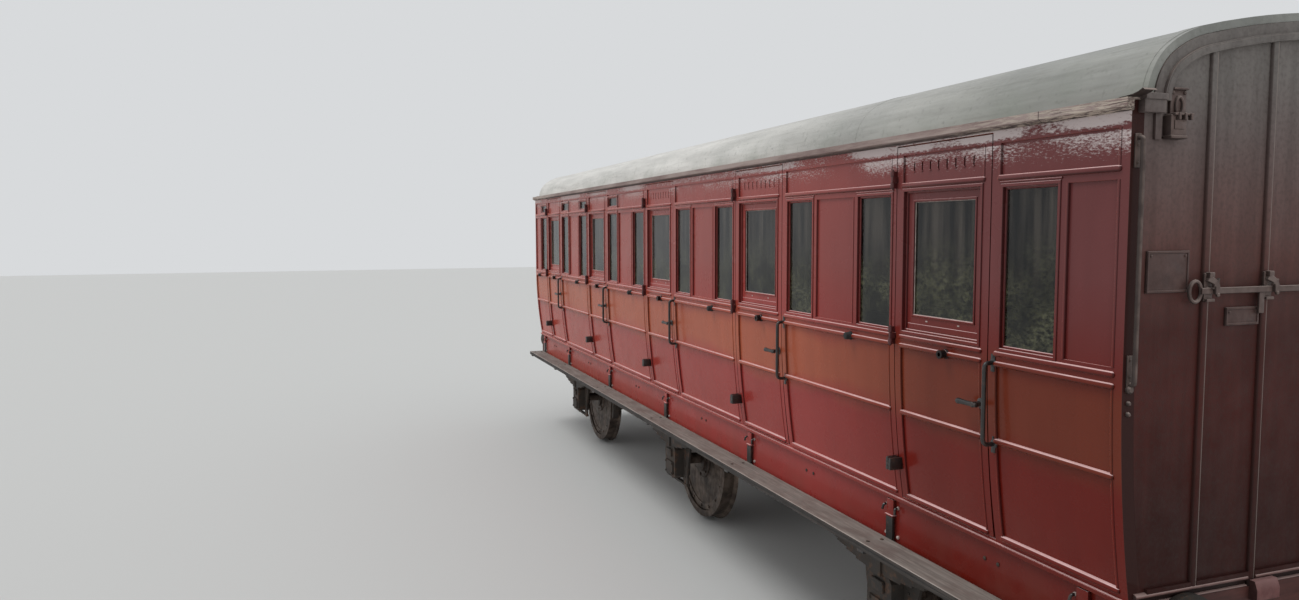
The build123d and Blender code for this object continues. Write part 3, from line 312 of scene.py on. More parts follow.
# Finishes
def paint(red, green, blue):
    """A colour from the usual 0 to 255 values."""
    values = [c / 255 for c in (red, green, blue)]
    return tuple(c / 12.92 if c <= 0.04045 else ((c + 0.055) / 1.055) ** 2.4 for c in values) + (1.0,)


class Value:
    """A number or colour that varies over a surface: one output of a material's nodes."""

    def __init__(self, look, socket):
        self.look, self.socket = look, socket

    def maths(self, operation, *others):
        """This value put through a maths node, with others where it takes more than one."""
        made = self.look.node("Math", [("operation", operation)])
        for index, value in enumerate((self, *others)):
            self.look.feed(made.inputs[index], value)
        return Value(self.look, made.outputs[0])

    def __add__(self, other):
        return self.maths("ADD", other)

    def __sub__(self, other):
        return self.maths("SUBTRACT", other)

    def __mul__(self, other):
        return self.maths("MULTIPLY", other)

    def __abs__(self):
        return self.maths("ABSOLUTE")

    def __neg__(self):
        return self * -1.0

    def span(self, start, end, low=0.0, high=1.0):
        """This value carried from one range to another, and held at its ends."""
        made = self.look.node("MapRange", Value=self, From_Min=start, From_Max=end, To_Min=low, To_Max=high)
        return Value(self.look, made.outputs[0])

    def past(self, edge, soft):
        """Zero below an edge and one above it."""
        return self.span(edge - soft, edge + soft)

    def between(self, low, high, soft):
        """One between two values, zero outside, with soft edges."""
        return self.past(low, soft) * self.span(high + soft, high - soft)

    def ramp(self, *stops):
        """Greys or colours along this value, from (position, grey or colour) pairs."""
        made = self.look.node("ValToRGB", Fac=self)
        ends = made.color_ramp.elements
        while len(ends) < len(stops):
            ends.new(0.5)
        for end, (position, grey) in zip(ends, stops):
            end.position = position
            end.color = grey if isinstance(grey, tuple) else (grey, grey, grey, 1.0)
        return Value(self.look, made.outputs["Color"])


class Look:
    """A material under construction, with the nodes that feed its shader."""

    def __init__(self, name, **sockets):
        self.material = bpy.data.materials.new(name)
        self.material.use_nodes = True
        self.tree = self.material.node_tree
        self.shader = self.tree.nodes["Principled BSDF"]
        for socket, value in sockets.items():
            self.shader.inputs[socket.replace("_", " ")].default_value = value
        self.place = self.node("TexCoord").outputs["Object"]
        self.colour = None

    def node(self, kind, settings=(), **inputs):
        """A new node with its settings and inputs."""
        made = self.tree.nodes.new("ShaderNode" + kind)
        for name, value in settings:
            setattr(made, name, value)
        for name, value in inputs.items():
            self.feed(made.inputs[name.replace("_", " ")], value)
        return made

    def feed(self, socket, value):
        """Links a value to a socket, or sets it there."""
        if isinstance(value, Value):
            value = value.socket
        if isinstance(value, bpy.types.NodeSocket):
            self.tree.links.new(value, socket)
        else:
            socket.default_value = value

    def noise(self, scale, stretch=(1, 1, 1), detail=4.0, roughness=0.55, shift=0.0):
        """Smooth noise over the object's place, finer along an axis where its stretch is larger."""
        mapping = self.node("Mapping", Vector=self.place, Scale=stretch, Location=(shift, shift, shift))
        made = self.node("TexNoise", Vector=mapping.outputs[0], Scale=scale, Detail=detail, Roughness=roughness)
        return Value(self, made.outputs["Fac"])

    def mix(self, factor, first, second, kind="MIX"):
        """The first colour where the factor is zero and the second where it is one."""
        made = self.node("Mix", [("data_type", "RGBA"), ("blend_type", kind)])
        for index, value in ((0, factor), (6, first), (7, second)):
            self.feed(made.inputs[index], value)
        return Value(self, made.outputs[2])

    def lay(self, cover, colour, kind="MIX"):
        """Lays a colour over what is there, as far as its cover goes."""
        self.colour = self.mix(cover, self.colour, colour, kind)

    def axis(self, letter):
        """The place along an axis."""
        return Value(self, self.node("SeparateXYZ", Vector=self.place).outputs[letter])

    def up(self):
        """The height above the underside of the body."""
        return self.axis("Z") - body_base

    def facing(self, letter):
        """How far the surface faces along an axis."""
        normal = self.node("NewGeometry").outputs["Normal"]
        return Value(self, self.node("SeparateXYZ", Vector=normal).outputs[letter])

    def stand_off(self, up):
        """How far a point stands out from the face of the nearer side."""
        below = (-up + turn_under).maths("MAXIMUM", 0.0)
        rise = -(below * below) + turn_under_radius**2
        return abs(self.axis("Y")) - (rise.maths("SQRT") + (half_width - turn_under_radius))

    def finish(self, roughness, *bumps):
        """Links colour and roughness, then stacks bumps given as (height, distance)."""
        self.feed(self.shader.inputs["Base Color"], self.colour)
        self.feed(self.shader.inputs["Roughness"], roughness)
        normal = None
        for height, distance in bumps:
            made = self.node("Bump", Height=height, Distance=distance, Strength=1.0)
            if normal:
                self.feed(made.inputs["Normal"], normal)
            normal = made.outputs[0]
        if normal:
            self.feed(self.shader.inputs["Normal"], normal)
        return self.material


def coach_paint():
    """Gloss maroon paint: warmer on the waist panels, peeling in the frieze under a painted sky reflection, dusty at
    its foot, black on the irons, with painted shade in the quirks and undersides, painted highlights on upper edges,
    and painted reflection brightening it towards the far end.
    """
    look = Look("coach_paint", Coat_Weight=0.16, Coat_Roughness=0.06, Coat_IOR=1.4, Specular_IOR_Level=0.14,
                Sheen_Weight=0.5, Sheen_Roughness=0.3, Sheen_Tint=paint(255, 130, 90))
    up, along = look.up(), look.axis("X")
    drifting = up + look.noise(2.5, (0.5, 1, 1)) * 0.3
    waist, upper = drifting.between(0.66, 1.02, 0.08) * 0.85, drifting.past(1.20, 0.22)
    # painted reflection: the far tones are brighter than the near ones and take over towards the far end; the paler
    # upper tones are partly the paint's own and partly painted sky reflection
    near_tones = paint(108, 26, 18), paint(112, 60, 60), paint(112, 50, 32)
    far_reflection_tones = paint(162, 58, 56), paint(154, 72, 67), paint(180, 96, 66)
    near, far = (look.mix(waist, look.mix(upper, lower_tone, upper_tone), waist_tone)
                 for lower_tone, upper_tone, waist_tone in (near_tones, far_reflection_tones))
    look.colour = look.mix(along.span(3.9, 2.6, 0.0, 0.9), near, far)
    look.lay(0.7, look.noise(1.1, (1, 1, 0.6)).ramp((0.3, 0.80), (0.7, 1.0)), "MULTIPLY")
    look.lay(0.6, look.noise(9, (1, 1, 0.12)).ramp((0.35, 0.86), (0.65, 1.0)), "MULTIPLY")
    dust = look.noise(5).ramp((0.35, 0.0), (0.75, 0.55)) * up.span(0.30, -0.2, 0.0, 0.5)
    look.lay(dust, paint(112, 74, 64))
    # painted sky reflection broken by crazing, pale in the strip and the panels under the gutter, most of it near the
    # camera; the crazing also roughens and bumps the paint
    strip = up.between(1.872, 1.925, 0.012)
    panel = up.span(1.73, 1.85, 0.0, 0.78) * up.between(1.70, 1.852, 0.004)
    nearer = along.span(2.2, 4.4, 0.72, 1.0)
    cover = (strip + panel) * nearer * look.noise(1.7, (1, 1, 2)).ramp((0.30, 0.0), (0.60, 1.0))
    speckle = look.noise(95, (0.45, 1, 1.3), 5, 0.75)
    crazing_and_painted_reflection = (speckle + cover * 0.48).past(0.72, 0.08) * cover.past(0.04, 0.03)
    look.lay(crazing_and_painted_reflection * 0.85, paint(204, 192, 190))
    look.lay(look.noise(210, detail=2).ramp((0.72, 0.0), (0.78, 0.4)), paint(140, 100, 92))
    end = abs(along).between(half_length - 0.0015, half_length + 0.0060, 0.0005)
    look.lay(end, paint(66, 38, 33))
    # painted shade in the quirks and on undersides, painted highlights on upper edges, black irons
    quirk_shade = abs(look.facing("X")).past(0.55, 0.15) * abs(look.axis("Y")).past(1.10, 0.01)
    painted_shade = quirk_shade.maths("MAXIMUM", (-look.facing("Z")).past(0.42, 0.15))
    look.lay(painted_shade * 0.62, paint(40, 14, 14))
    ledge_highlight = look.facing("Z").past(0.66, 0.08) * look.noise(30, (0.3, 1, 1)).ramp((0.2, 0.65), (0.8, 1.0))
    look.lay(ledge_highlight, paint(232, 196, 194))
    iron = look.stand_off(up).past(0.0125, 0.0003) * up.past(0.1, 0.01)
    look.lay(iron, paint(26, 24, 24))
    rough = look.mix(dust + crazing_and_painted_reflection + end, look.noise(6).ramp((0.3, 0.20), (0.7, 0.32)), (0.7, 0.7, 0.7, 1))
    return look.finish(rough, (look.noise(3.5, detail=2), 0.0035), (look.noise(90, detail=2), 0.00015),
                       (crazing_and_painted_reflection, -0.0006))


def plain_finish(name, dark, light, scale, rough, bump=(120, 0.0004), metal=0.0, stain=None, coat=0.0):
    """A painted or bare surface with uneven tone, stains and a fine bump."""
    look = Look(name, Metallic=metal, Coat_Weight=coat, Coat_Roughness=0.2)
    look.colour = look.noise(scale).ramp((0.32, dark), (0.68, light))
    if stain:
        patch = look.noise(scale * 3.1, detail=7, roughness=0.65, shift=3.0).ramp((0.52, 0.0), (0.66, 0.75))
        look.lay(patch, stain)
    return look.finish(look.noise(scale * 2).ramp((0.3, rough[0]), (0.7, rough[1])),
                       (look.noise(bump[0], detail=3), bump[1]))


def end_paint():
    """Grimy paint on the ends, greyer and lighter towards the roof, partly as painted light from above, with painted
    highlights and shade on the beads.
    """
    look = Look("end_paint", Coat_Weight=0.04, Coat_Roughness=0.35, Specular_IOR_Level=0.18)
    up = look.up()
    # darker at the foot and lighter towards the roof: partly the paint's own weathering, partly painted light
    level = (up + look.noise(1.6) * 0.24).maths("DIVIDE", 2.4)
    look.colour = level.ramp((0.16, paint(60, 26, 22)), (0.39, paint(80, 35, 30)), (0.50, paint(76, 38, 34)),
                             (0.63, paint(102, 68, 63)), (0.72, paint(109, 84, 80)), (0.82, paint(114, 100, 97)),
                             (0.92, paint(124, 118, 114)))
    look.lay(0.7, look.noise(16, (1, 1, 0.07)).ramp((0.40, 0.72), (0.62, 1.0)), "MULTIPLY")
    look.lay(look.noise(60, detail=6).ramp((0.45, 0.0), (0.75, 0.35)), paint(58, 50, 46))
    # painted highlights make the beads' right flanks and upper edges pale, painted shade makes their left flanks dark,
    # and the end's foot is dark
    pale = paint(150, 136, 128)
    flank = look.facing("Y") * look.axis("X").maths("SIGN")
    look.lay(flank.between(0.22, 0.95, 0.08) * 0.6, pale)
    look.lay((-flank).past(0.4, 0.15) * 0.6, paint(44, 28, 25))
    look.lay(look.facing("Z").past(0.5, 0.1) * up.past(0.12, 0.01) * 0.6, pale)
    look.lay((-up).past(-0.034, 0.010) * 0.7, paint(26, 18, 16))
    return look.finish(look.noise(8).ramp((0.3, 0.5), (0.7, 0.75)), (look.noise(5, detail=2), 0.003),
                       (look.noise(150), 0.0005))


def canvas():
    """Painted roof canvas, wrinkled along the coach and streaked down the arch, with a painted reflection making it
    lighter towards the far end.
    """
    look = Look("roof_canvas", Sheen_Weight=0.25, Sheen_Roughness=0.4)
    look.colour = look.noise(0.9, (1, 1.5, 1.5)).ramp((0.3, paint(134, 135, 130)), (0.7, paint(168, 167, 160)))
    # painted reflection: lighter towards the far end, as the sky's sheen at grazing angles
    look.lay(look.axis("X").span(4.2, 0.5, 0.0, 0.85), paint(228, 225, 219))
    streak = look.noise(5, (0.25, 2.2, 2.2), 6).ramp((0.36, 0.74), (0.66, 1.0))
    look.lay(0.8, streak, "MULTIPLY")
    look.lay(look.noise(38, detail=5).ramp((0.58, 0.0), (0.72, 0.45)), paint(108, 108, 103))
    moss = look.noise(2.6, shift=5).ramp((0.45, 0.0), (0.7, 0.5)) * look.axis("Z").span(3.42, 3.2)
    look.lay(moss, paint(118, 126, 114))
    weave = look.node("TexWave", [("wave_type", "BANDS")], Vector=look.place, Scale=120.0, Distortion=1.0)
    return look.finish(look.noise(9).ramp((0.3, 0.6), (0.7, 0.85)),
                       (look.noise(2.0, (0.35, 3.0, 3.0), 3), 0.030), (look.noise(12, (0.5, 1.5, 1.5)), 0.004),
                       (weave.outputs["Fac"], 0.0002))


def gutter_paint():
    """Pale gutter paint, darker along its foot by painted shade, pale on its top by painted highlight, and weathered to
    bare cracked wood near the ends.
    """
    look = Look("gutter_paint")
    along = abs(look.axis("X"))
    look.colour = look.noise(5, (0.4, 2, 3)).ramp((0.36, paint(122, 100, 96)), (0.62, paint(160, 142, 136)))
    # painted shade along the gutter's foot
    look.lay((-look.up()).past(-1.930, 0.006), paint(62, 50, 48))
    near = along.span(3.9, 4.7, 0.15)
    bare = look.noise(60, (0.2, 1, 3), 7, 0.75).ramp((0.485, 0.0), (0.525, 0.9)) * near
    look.lay(bare, paint(186, 172, 158))
    crack = look.noise(26, (0.12, 1, 5), 5).ramp((0.60, 0.0), (0.66, 0.8))
    look.lay(crack * near, paint(60, 44, 40))
    # painted highlight on the gutter's upward faces
    look.lay(look.facing("Z").past(0.5, 0.2) * 0.8, paint(206, 198, 192))
    look.lay(along.between(4.642, 4.646, 0.001), paint(40, 30, 28))
    return look.finish(0.7, (look.noise(60, (0.15, 1, 3)), 0.0006), (bare, -0.0005))


def timber(name, dark, light, rough, gloss=0.0, along=(0.5, 9, 9), crack=0.35, board_width=None):
    """Wood with grain along the coach unless another stretch is given, in boards if they have a width."""
    look = Look(name, Coat_Weight=gloss, Coat_Roughness=0.15)
    grain = look.noise(7, along, 6, 0.6)
    look.colour = grain.ramp((0.3, dark), (0.7, light))
    look.lay(0.8, look.noise(26, along, 4).ramp((0.35, 0.78), (0.65, 1.0)), "MULTIPLY")
    splits = look.noise(30, (along[0] * 0.25, along[1] * 0.5, along[2] * 0.5), 2).ramp((0.66, 0.0), (0.70, crack))
    if board_width:
        place = look.axis("Y").maths("DIVIDE", board_width).maths("FRACT")
        splits = splits.maths("MAXIMUM", (-place.between(0.03, 0.97, 0.02) + 1.0) * 0.8)
    look.lay(splits, paint(34, 27, 24))
    return look.finish(rough, (grain, 0.0012), (splits, -0.002))


def plank():
    """Weathered step board: grey, scuffed pale on top and muddy along its edges."""
    look = Look("step_wood")
    grain = look.noise(6, (0.5, 12, 12), 6, 0.6)
    look.colour = grain.ramp((0.3, paint(104, 96, 90)), (0.7, paint(142, 134, 127)))
    look.lay(look.noise(9, (0.5, 1, 1)).ramp((0.45, 0.0), (0.75, 0.6)), paint(92, 74, 68))
    look.lay(look.noise(22, (0.4, 2, 2), 6).ramp((0.55, 0.0), (0.68, 0.5)), paint(150, 140, 132))
    across = abs(look.axis("Y"))
    edge = across.past(1.336, 0.002) * look.noise(9, (0.4, 1, 1)).ramp((0.3, 0.4), (0.6, 0.9))
    look.lay(edge, paint(190, 182, 174))
    look.lay(across.past(1.3447, 0.0001), grain.ramp((0.35, paint(36, 32, 30)), (0.7, paint(70, 62, 57))))
    groove = look.axis("Z").between(0.961, 0.965, 0.001)
    look.lay(groove * 0.8, paint(20, 18, 17))
    return look.finish(look.noise(12).ramp((0.3, 0.6), (0.7, 0.85)), (grain, 0.0016), (groove, -0.003))


def cloth():
    """Woven moquette in a dull red with a small even figure."""
    look = Look("seat_cloth", Sheen_Weight=0.5, Sheen_Roughness=0.4)
    figure = Value(look, look.node("TexVoronoi", Vector=look.place, Scale=42.0).outputs["Distance"])
    look.colour = figure.ramp((0.16, paint(128, 72, 52)), (0.24, paint(92, 30, 32)))
    look.lay(look.noise(3).ramp((0.35, 0.0), (0.7, 0.35)), paint(62, 24, 24))
    return look.finish(0.85, (look.noise(900, detail=2), 0.0006))


def glass():
    """Window glass with an uneven dark reflection, as if of trees over a hedge."""
    look = Look("window_glass", IOR=1.5, Coat_Weight=0.2, Coat_Roughness=0.12, Specular_IOR_Level=0.3)
    film = look.noise(7, (1, 1, 0.35), 6).ramp((0.35, 0.72), (0.75, 0.88))
    look.feed(look.shader.inputs["Alpha"], film)
    hedge = look.noise(34, (1, 1, 1.6), 8, 0.75).ramp((0.42, paint(14, 16, 13)), (0.62, paint(98, 98, 74)))
    hedge = look.mix(look.noise(4).ramp((0.40, 0.0), (0.58, 0.85)), paint(12, 14, 13), hedge)
    trunks = look.noise(16, (1, 1, 0.05), 5).ramp((0.42, paint(10, 11, 11)), (0.64, paint(74, 68, 62)))
    look.colour = look.mix((-look.up()).past(-1.32, 0.16), trunks, hedge)
    return look.finish(0.12)


def steel():
    """Worn wheel steel, rusty away from the treads."""
    look = Look("wheel_steel", Metallic=0.55)
    look.colour = look.noise(14, detail=6).ramp((0.34, paint(70, 56, 48)), (0.62, paint(112, 98, 88)))
    grime = look.noise(5, detail=7, shift=2).ramp((0.42, 0.0), (0.66, 0.85))
    look.lay(grime, paint(44, 36, 32))
    return look.finish(look.noise(20).ramp((0.3, 0.45), (0.7, 0.7)), (look.noise(70), 0.0007))


def worn_iron(name, dark, light, top):
    """Painted iron with painted highlights on its upper edges and painted shade on its undersides and flanks."""
    look = Look(name, Specular_IOR_Level=0.4)
    look.colour = look.noise(20).ramp((0.32, dark), (0.68, light))
    # painted highlight on upward faces, then painted shade on undersides and flanks
    look.lay(look.facing("Z").past(0.35, 0.2) * 0.8, top)
    shade = (-look.facing("Z")).maths("MAXIMUM", abs(look.facing("Y")) * 0.75)
    look.lay(shade.past(0.45, 0.2) * 0.75, paint(34, 25, 23))
    return look.finish(look.noise(30).ramp((0.3, 0.4), (0.7, 0.65)), (look.noise(90), 0.0005))


looks = {
    "maroon_paint": coach_paint(),
    "end_paint": end_paint(),
    "roof_canvas": canvas(),
    "gutter_paint": gutter_paint(),
    "window_glass": glass(),
    "inside_wood": timber("inside_wood", paint(96, 58, 32), paint(148, 98, 58), 0.45, 0.25, (5, 5, 0.4), 0.2, 0.120),
    "floor_wood": timber("floor_wood", paint(82, 66, 52), paint(120, 98, 78), 0.75, board_width=0.150),
    "seat_cloth": cloth(),
    "step_wood": plank(),
    "frame_wood": timber("frame_wood", paint(66, 34, 30), paint(96, 52, 46), 0.7, 0.0, (4, 0.6, 4)),
    "wheel_steel": steel(),
}
plain_finishes = [
    ("black_iron", paint(20, 19, 19), paint(38, 35, 33), 9, (0.28, 0.5), (90, 0.0004), 0.0, paint(74, 52, 42), 0.2),
    ("frame_iron", paint(40, 36, 33), paint(66, 56, 48), 5, (0.6, 0.85), (70, 0.0009), 0.0, paint(96, 66, 46)),
    ("stop_rubber", paint(22, 22, 22), paint(34, 33, 32), 14, (0.6, 0.8)),
    ("buffer_steel", paint(66, 62, 58), paint(104, 98, 92), 8, (0.35, 0.6), (120, 0.0004), 0.6, paint(36, 31, 28)),
    ("hinge_paint", paint(58, 24, 24), paint(84, 32, 32), 30, (0.3, 0.5)),
    ("pale_nut", paint(150, 132, 126), paint(190, 176, 168), 60, (0.45, 0.7)),
]
# rows of name, dark, light and top colour; the top colour is a painted highlight on upward faces
worn_irons = [
    ("blank_plate", paint(72, 50, 46), paint(92, 68, 63), paint(140, 122, 114)),
    ("bare_steel", paint(76, 61, 56), paint(112, 95, 88), paint(150, 134, 126)),
    ("end_iron", paint(84, 66, 61), paint(112, 94, 88), paint(166, 150, 142)),
    ("scuffed_and_highlit_paint", paint(104, 72, 68), paint(130, 96, 91), paint(164, 138, 132)),
    ("block_paint", paint(98, 55, 53), paint(120, 76, 73), paint(176, 136, 132)),
]
looks.update({row[0]: plain_finish(*row) for row in plain_finishes})
looks.update({row[0]: worn_iron(*row) for row in worn_irons})

for node in frame["record"]["subparts"]:
    shown = frame["nodes"][node["node"]]
    shown.data.materials.clear()
    shown.data.materials.append(looks[node["material_slot"]])


# Sides
def side_frame(shape, opening, margin, profile, out=0.0):
    """A moulding on side A this far outside an opening's edge, or inside it where the margin is negative."""
    x_low, x_high, low, high = opening
    ups = heights(low - margin, high + margin)
    corners = [(x_high + margin, up) for up in ups] + [(x_low - margin, up) for up in reversed(ups)]
    shape.sweep([side_point(x, up, out) for x, up in corners], [side_out(up) for _, up in corners], profile, True)


def side_strip(shape, x_low, x_high, up, profile, out=0.0):
    """A level moulding on side A."""
    shape.sweep([side_point(x_low, up, out), side_point(x_high, up, out)], side_out(up), profile)


def rounded_rail(shape, x_low, x_high, up):
    """A round rail across side A with its ends rounded down onto the stiles."""
    profile = round_bead(rail_width, rail_proud, 8, behind_panel)
    tip = [(-0.013, 0.25), (-0.011, 0.60), (-0.006, 0.87), (0.0, 1.0)]
    stations = [(x_low + along, size) for along, size in tip] + [(x_high - along, size) for along, size in tip[::-1]]
    rise = Vector((0, -sin(lean(up)), cos(lean(up))))
    shape.add([side_point(x, up) + rise * side * size + side_out(up) * (height if height < 0 else height * size)
               for x, size in stations for side, height in profile], ring_faces(len(stations), len(profile), False))


def recess_beads(shape, x_low, x_high, low, high):
    """The thin upright beads at both edges of one recessed panel of side A."""
    ups = heights(low, high)
    for x in (x_low - 0.002, x_high + 0.002):
        shape.sweep([side_point(x, up) for up in ups], [side_out(up) for up in ups],
                    round_bead(0.013, 0.004, 6, behind_panel))


def panel_rails(shape, x_low, x_high):
    """The round rails and the upright beads across one bay or door of side A."""
    for up in rail_heights:
        rounded_rail(shape, x_low + stile, x_high - stile, up)
    for low, high in ((rail_heights[0], rail_heights[2]), (rail_heights[4], eaves_high)):
        recess_beads(shape, x_low + stile, x_high - stile, low, high)


# The strip that is nailed round a window stands this far outside its opening
strip_margin, strip_width, nail_spacing = 0.007, 0.016, 0.085


def light_frame(shape, nails, opening):
    """The moulding strip round one window opening of side A, with its nails."""
    proud = 0.005
    side_frame(shape, opening, strip_margin, flat_bead(strip_width, proud, 0.002))
    side_frame(shape, opening, -0.006, flat_bead(0.012, 0.006, 0.003, 0.0), -0.0155)
    x_low, x_high, low, high = opening
    count = max(2, round((high - low) / nail_spacing))
    for x in (x_low - strip_margin, x_high + strip_margin):
        for i in range(count + 1):
            nails.nail(side_point(x, low + (high - low) * i / count, proud), side_out(low))
    count = max(2, round((x_high - x_low) / nail_spacing))
    for up in (low - strip_margin, high + strip_margin):
        for i in range(1, count):
            nails.nail(side_point(x_low + (x_high - x_low) * i / count, up, proud), side_out(up))


def bay_rows():
    """Low and high X of the six bays of a side, from the near end."""
    edges = [half_length]
    for centre in door_centres:
        edges += [centre + door_width / 2 + door_gap, centre - door_width / 2 - door_gap]
    edges.append(-half_length)
    return list(zip(edges[1::2], edges[::2]))


def quarterlights(centre):
    """Low and high X of the two fixed windows beside a door."""
    latch, hinge = centre + door_width / 2 + latch_pillar, centre - door_width / 2 - hinge_pillar
    return [(latch, latch + quarter_width), (hinge - quarter_width, hinge)]


def upper_panels(x_low, x_high):
    """Low and high X of the recessed panels beside and between the windows of one bay."""
    lights = sorted(light for centre in door_centres for light in quarterlights(centre) if x_low < light[0] < x_high)
    edges = [x_low] + [edge for light in lights for edge in light] + [x_high]
    return [(low + stile, high - stile) for low, high in zip(edges[::2], edges[1::2]) if high - low > 3 * stile]


def bay_trim(toplights):
    """Rails, window frames, drip mouldings and nails of the fixed bays, as side A."""
    beads, nails = Shape(), Shape()
    for centre, small_lights in zip(door_centres, toplights):
        for x_low, x_high in quarterlights(centre):
            light_frame(beads, nails, (x_low, x_high, light_low, light_high))
            side_strip(beads, x_low - 0.020, x_high + 0.020, light_high + 0.022, flat_bead(0.008, 0.006, 0.002))
            if small_lights:
                light_frame(beads, nails, (x_low, x_high, toplight_low, toplight_high))
    side_strip(beads, -half_length - 0.001, half_length + 0.001, 0.009, flat_bead(0.019, 0.0165, 0.002))
    for x_low, x_high in bay_rows():
        panel_rails(beads, x_low, x_high)
        for start, end in upper_panels(x_low, x_high):
            recess_beads(beads, start, end, light_low, light_high)
    return beads, nails


for (side, matrix), toplights in zip(sides, (has_toplights, has_toplights[::-1])):
    beads, nails = bay_trim(toplights)
    piece(f"bay_beads_{side}", beads.copy(matrix), "maroon_paint")
    piece(f"bay_nails_{side}", nails.copy(matrix), "black_iron")


def door_trim(centre, slots):
    """Rails, sash mouldings, ventilator lips, nails and the sash's pale edge of one door of side A."""
    beads, nails, edges = Shape(), Shape(), Shape()
    half, proud = drop_width / 2, 0.006
    pane = half - sash_side
    opening = (centre - half, centre + half, drop_low, drop_high)
    pane_opening = (centre - pane, centre + pane, drop_low + sash_foot, drop_high - sash_head)
    panel_rails(beads, centre - door_width / 2, centre + door_width / 2)
    side_frame(beads, opening, strip_margin, flat_bead(strip_width, proud, 0.002))
    side_frame(beads, pane_opening, 0.004, round_bead(0.012, 0.006), -sash_recess)
    side_frame(beads, opening, -0.006, flat_bead(0.012, 0.010, 0.003), -sash_recess)
    side_strip(beads, centre - half + 0.02, centre + half - 0.02, drop_low + 0.028, flat_bead(0.030, 0.004, 0.002),
               -sash_recess)
    for i in range(9):
        up = drop_low + (drop_high - drop_low) * i / 8
        for x in (centre - half - strip_margin, centre + half + strip_margin):
            nails.nail(side_point(x, up, proud), side_out(up))
    side_frame(edges, pane_opening, -0.002, flat_bead(0.005, 0.003, 0.001, 0.0), -sash_recess - 0.006)
    for along in (-0.120, 0.125):
        edges.slab(side_point(centre + along, drop_low + 0.062, -sash_recess + 0.0005), (0.016, 0.001, 0.007), 0.0003)
    for i in range(slot_count if slots else 0):
        x = centre + slot_spread * (i / (slot_count - 1) - 0.5)
        for up, thick in ((slot_low - 0.002, 0.006), (slot_high + 0.003, 0.005)):
            beads.slab(side_point(x, up, -panel_recess + 0.002), (0.015, 0.006, thick), 0.0015)
    return beads, nails, edges


def lever_handle(shape, centre):
    """The turning handle of one door: rose, stem and a lever with a bulb end that points to the hinges."""
    up, x = 0.671, centre + door_width / 2 - 0.038
    out, hub = side_out(up), side_point(x, up, 0.046)
    rose = [(-0.001, 0.026), (0.004, 0.026), (0.007, 0.020), (0.012, 0.013), (0.034, 0.0105)]
    boss = [(-0.016, 0.009), (-0.014, 0.0135), (0.008, 0.0135), (0.012, 0.009)]
    lever = [(-0.026, 0.006), (-0.024, 0.0105), (-0.010, 0.0115), (0.0, 0.0130), (0.03, 0.0115), (0.07, 0.0120),
             (0.092, 0.0140), (0.106, 0.0148), (0.113, 0.011), (0.115, 0.004)]
    shape.turned(rose, side_point(x, up), out)
    shape.turned(boss, hub, out)
    shape.turned(lever, hub, -X, 14)


def hinge_half(shape, centre, way, rows):
    """The flaps and knuckles of a door's hinges: way is 1 on the door and -1 on the pillar."""
    x, axis_y = hinge_line(centre), -half_width - hinge_stand_off
    knuckle, shortest_box = 0.0096, 0.012
    front = axis_y - knuckle
    for up, length, reach in rows:
        third = length / 3
        half = third / 2 - 0.0004
        back = -half_width + inset(up) + 0.003
        boxed = reach > shortest_box
        for end in ([0] if way == 1 else [-1, 1]):
            middle = Vector((x, axis_y, body_base + up + end * third))
            if boxed:
                shape.slab(middle, (0.020, 2 * knuckle, 2 * half), 0.002)
                shape.slab((x + way * 0.0045, (axis_y + back) / 2, middle.z),
                           (0.009, back - axis_y, 2 * half - 0.001), 0.001)
                continue
            shape.turned([(-half, 0.0092), (-half + 0.0015, 0.0098), (half - 0.0015, 0.0098), (half, 0.0092)],
                         middle, Z, 14)
            if end:
                tip = middle + Z * (end * third / 2)
                shape.turned([(0, 0.006), (0.004, 0.0065), (0.007, 0.003)], tip, Z * end, 10)
            shape.slab((x + way * reach / 2, (front + back) / 2, middle.z),
                       (reach + 0.002, back - front, 2 * half), 0.002)
        if boxed:
            # the pillar's flap is let in, where the open door's flap comes to rest
            face = front if way == 1 else axis_y + 0.0085
            low, high = 0.0142, reach + 0.0012
            shape.slab((x + way * (low + high) / 2, (face + back) / 2, body_base + up),
                       (high - low, back - face, length - 0.001), 0.002)


# How far a door's stop and the pillar's stop stand from the hinge line, and their height
stop_reach, stop_up = 0.424, 0.870


def bump_stop(shape, x):
    """A round rubber stop on its boss."""
    shape.turned([(0.0, 0.0245), (0.006, 0.0245), (0.010, 0.0215), (0.036, 0.0205), (0.0405, 0.0175), (0.042, 0.010)],
                 Vector((x, -half_width, body_base + stop_up)), -Y, 22)


for number, centre in enumerate(door_centres, start=1):
    for side, matrix in sides:
        beads, nails, edges = door_trim(centre, has_slots[number - 1] if side == "a" else has_slots[-number])
        irons, painted, stop = Shape(), Shape(), Shape()
        lever_handle(irons, centre)
        hinge_half(irons, centre, 1, hinge_rows[:1])
        irons.join(nails)
        hinge_half(painted, centre, 1, hinge_rows[1:])
        bump_stop(stop, hinge_line(centre) + stop_reach)
        for part, shape, slot, look in (
                ("sash_edge", edges, "black_iron", "pale_nut"), ("beads", beads, "maroon_paint", None),
                ("irons", irons, "black_iron", None), ("hinges", painted, "maroon_paint", "hinge_paint"),
                ("stop", stop, "stop_rubber", None)):
            piece(f"door_{side}{number}_{part}", shape.copy(matrix), slot, look, f"door_{side}{number}_body")


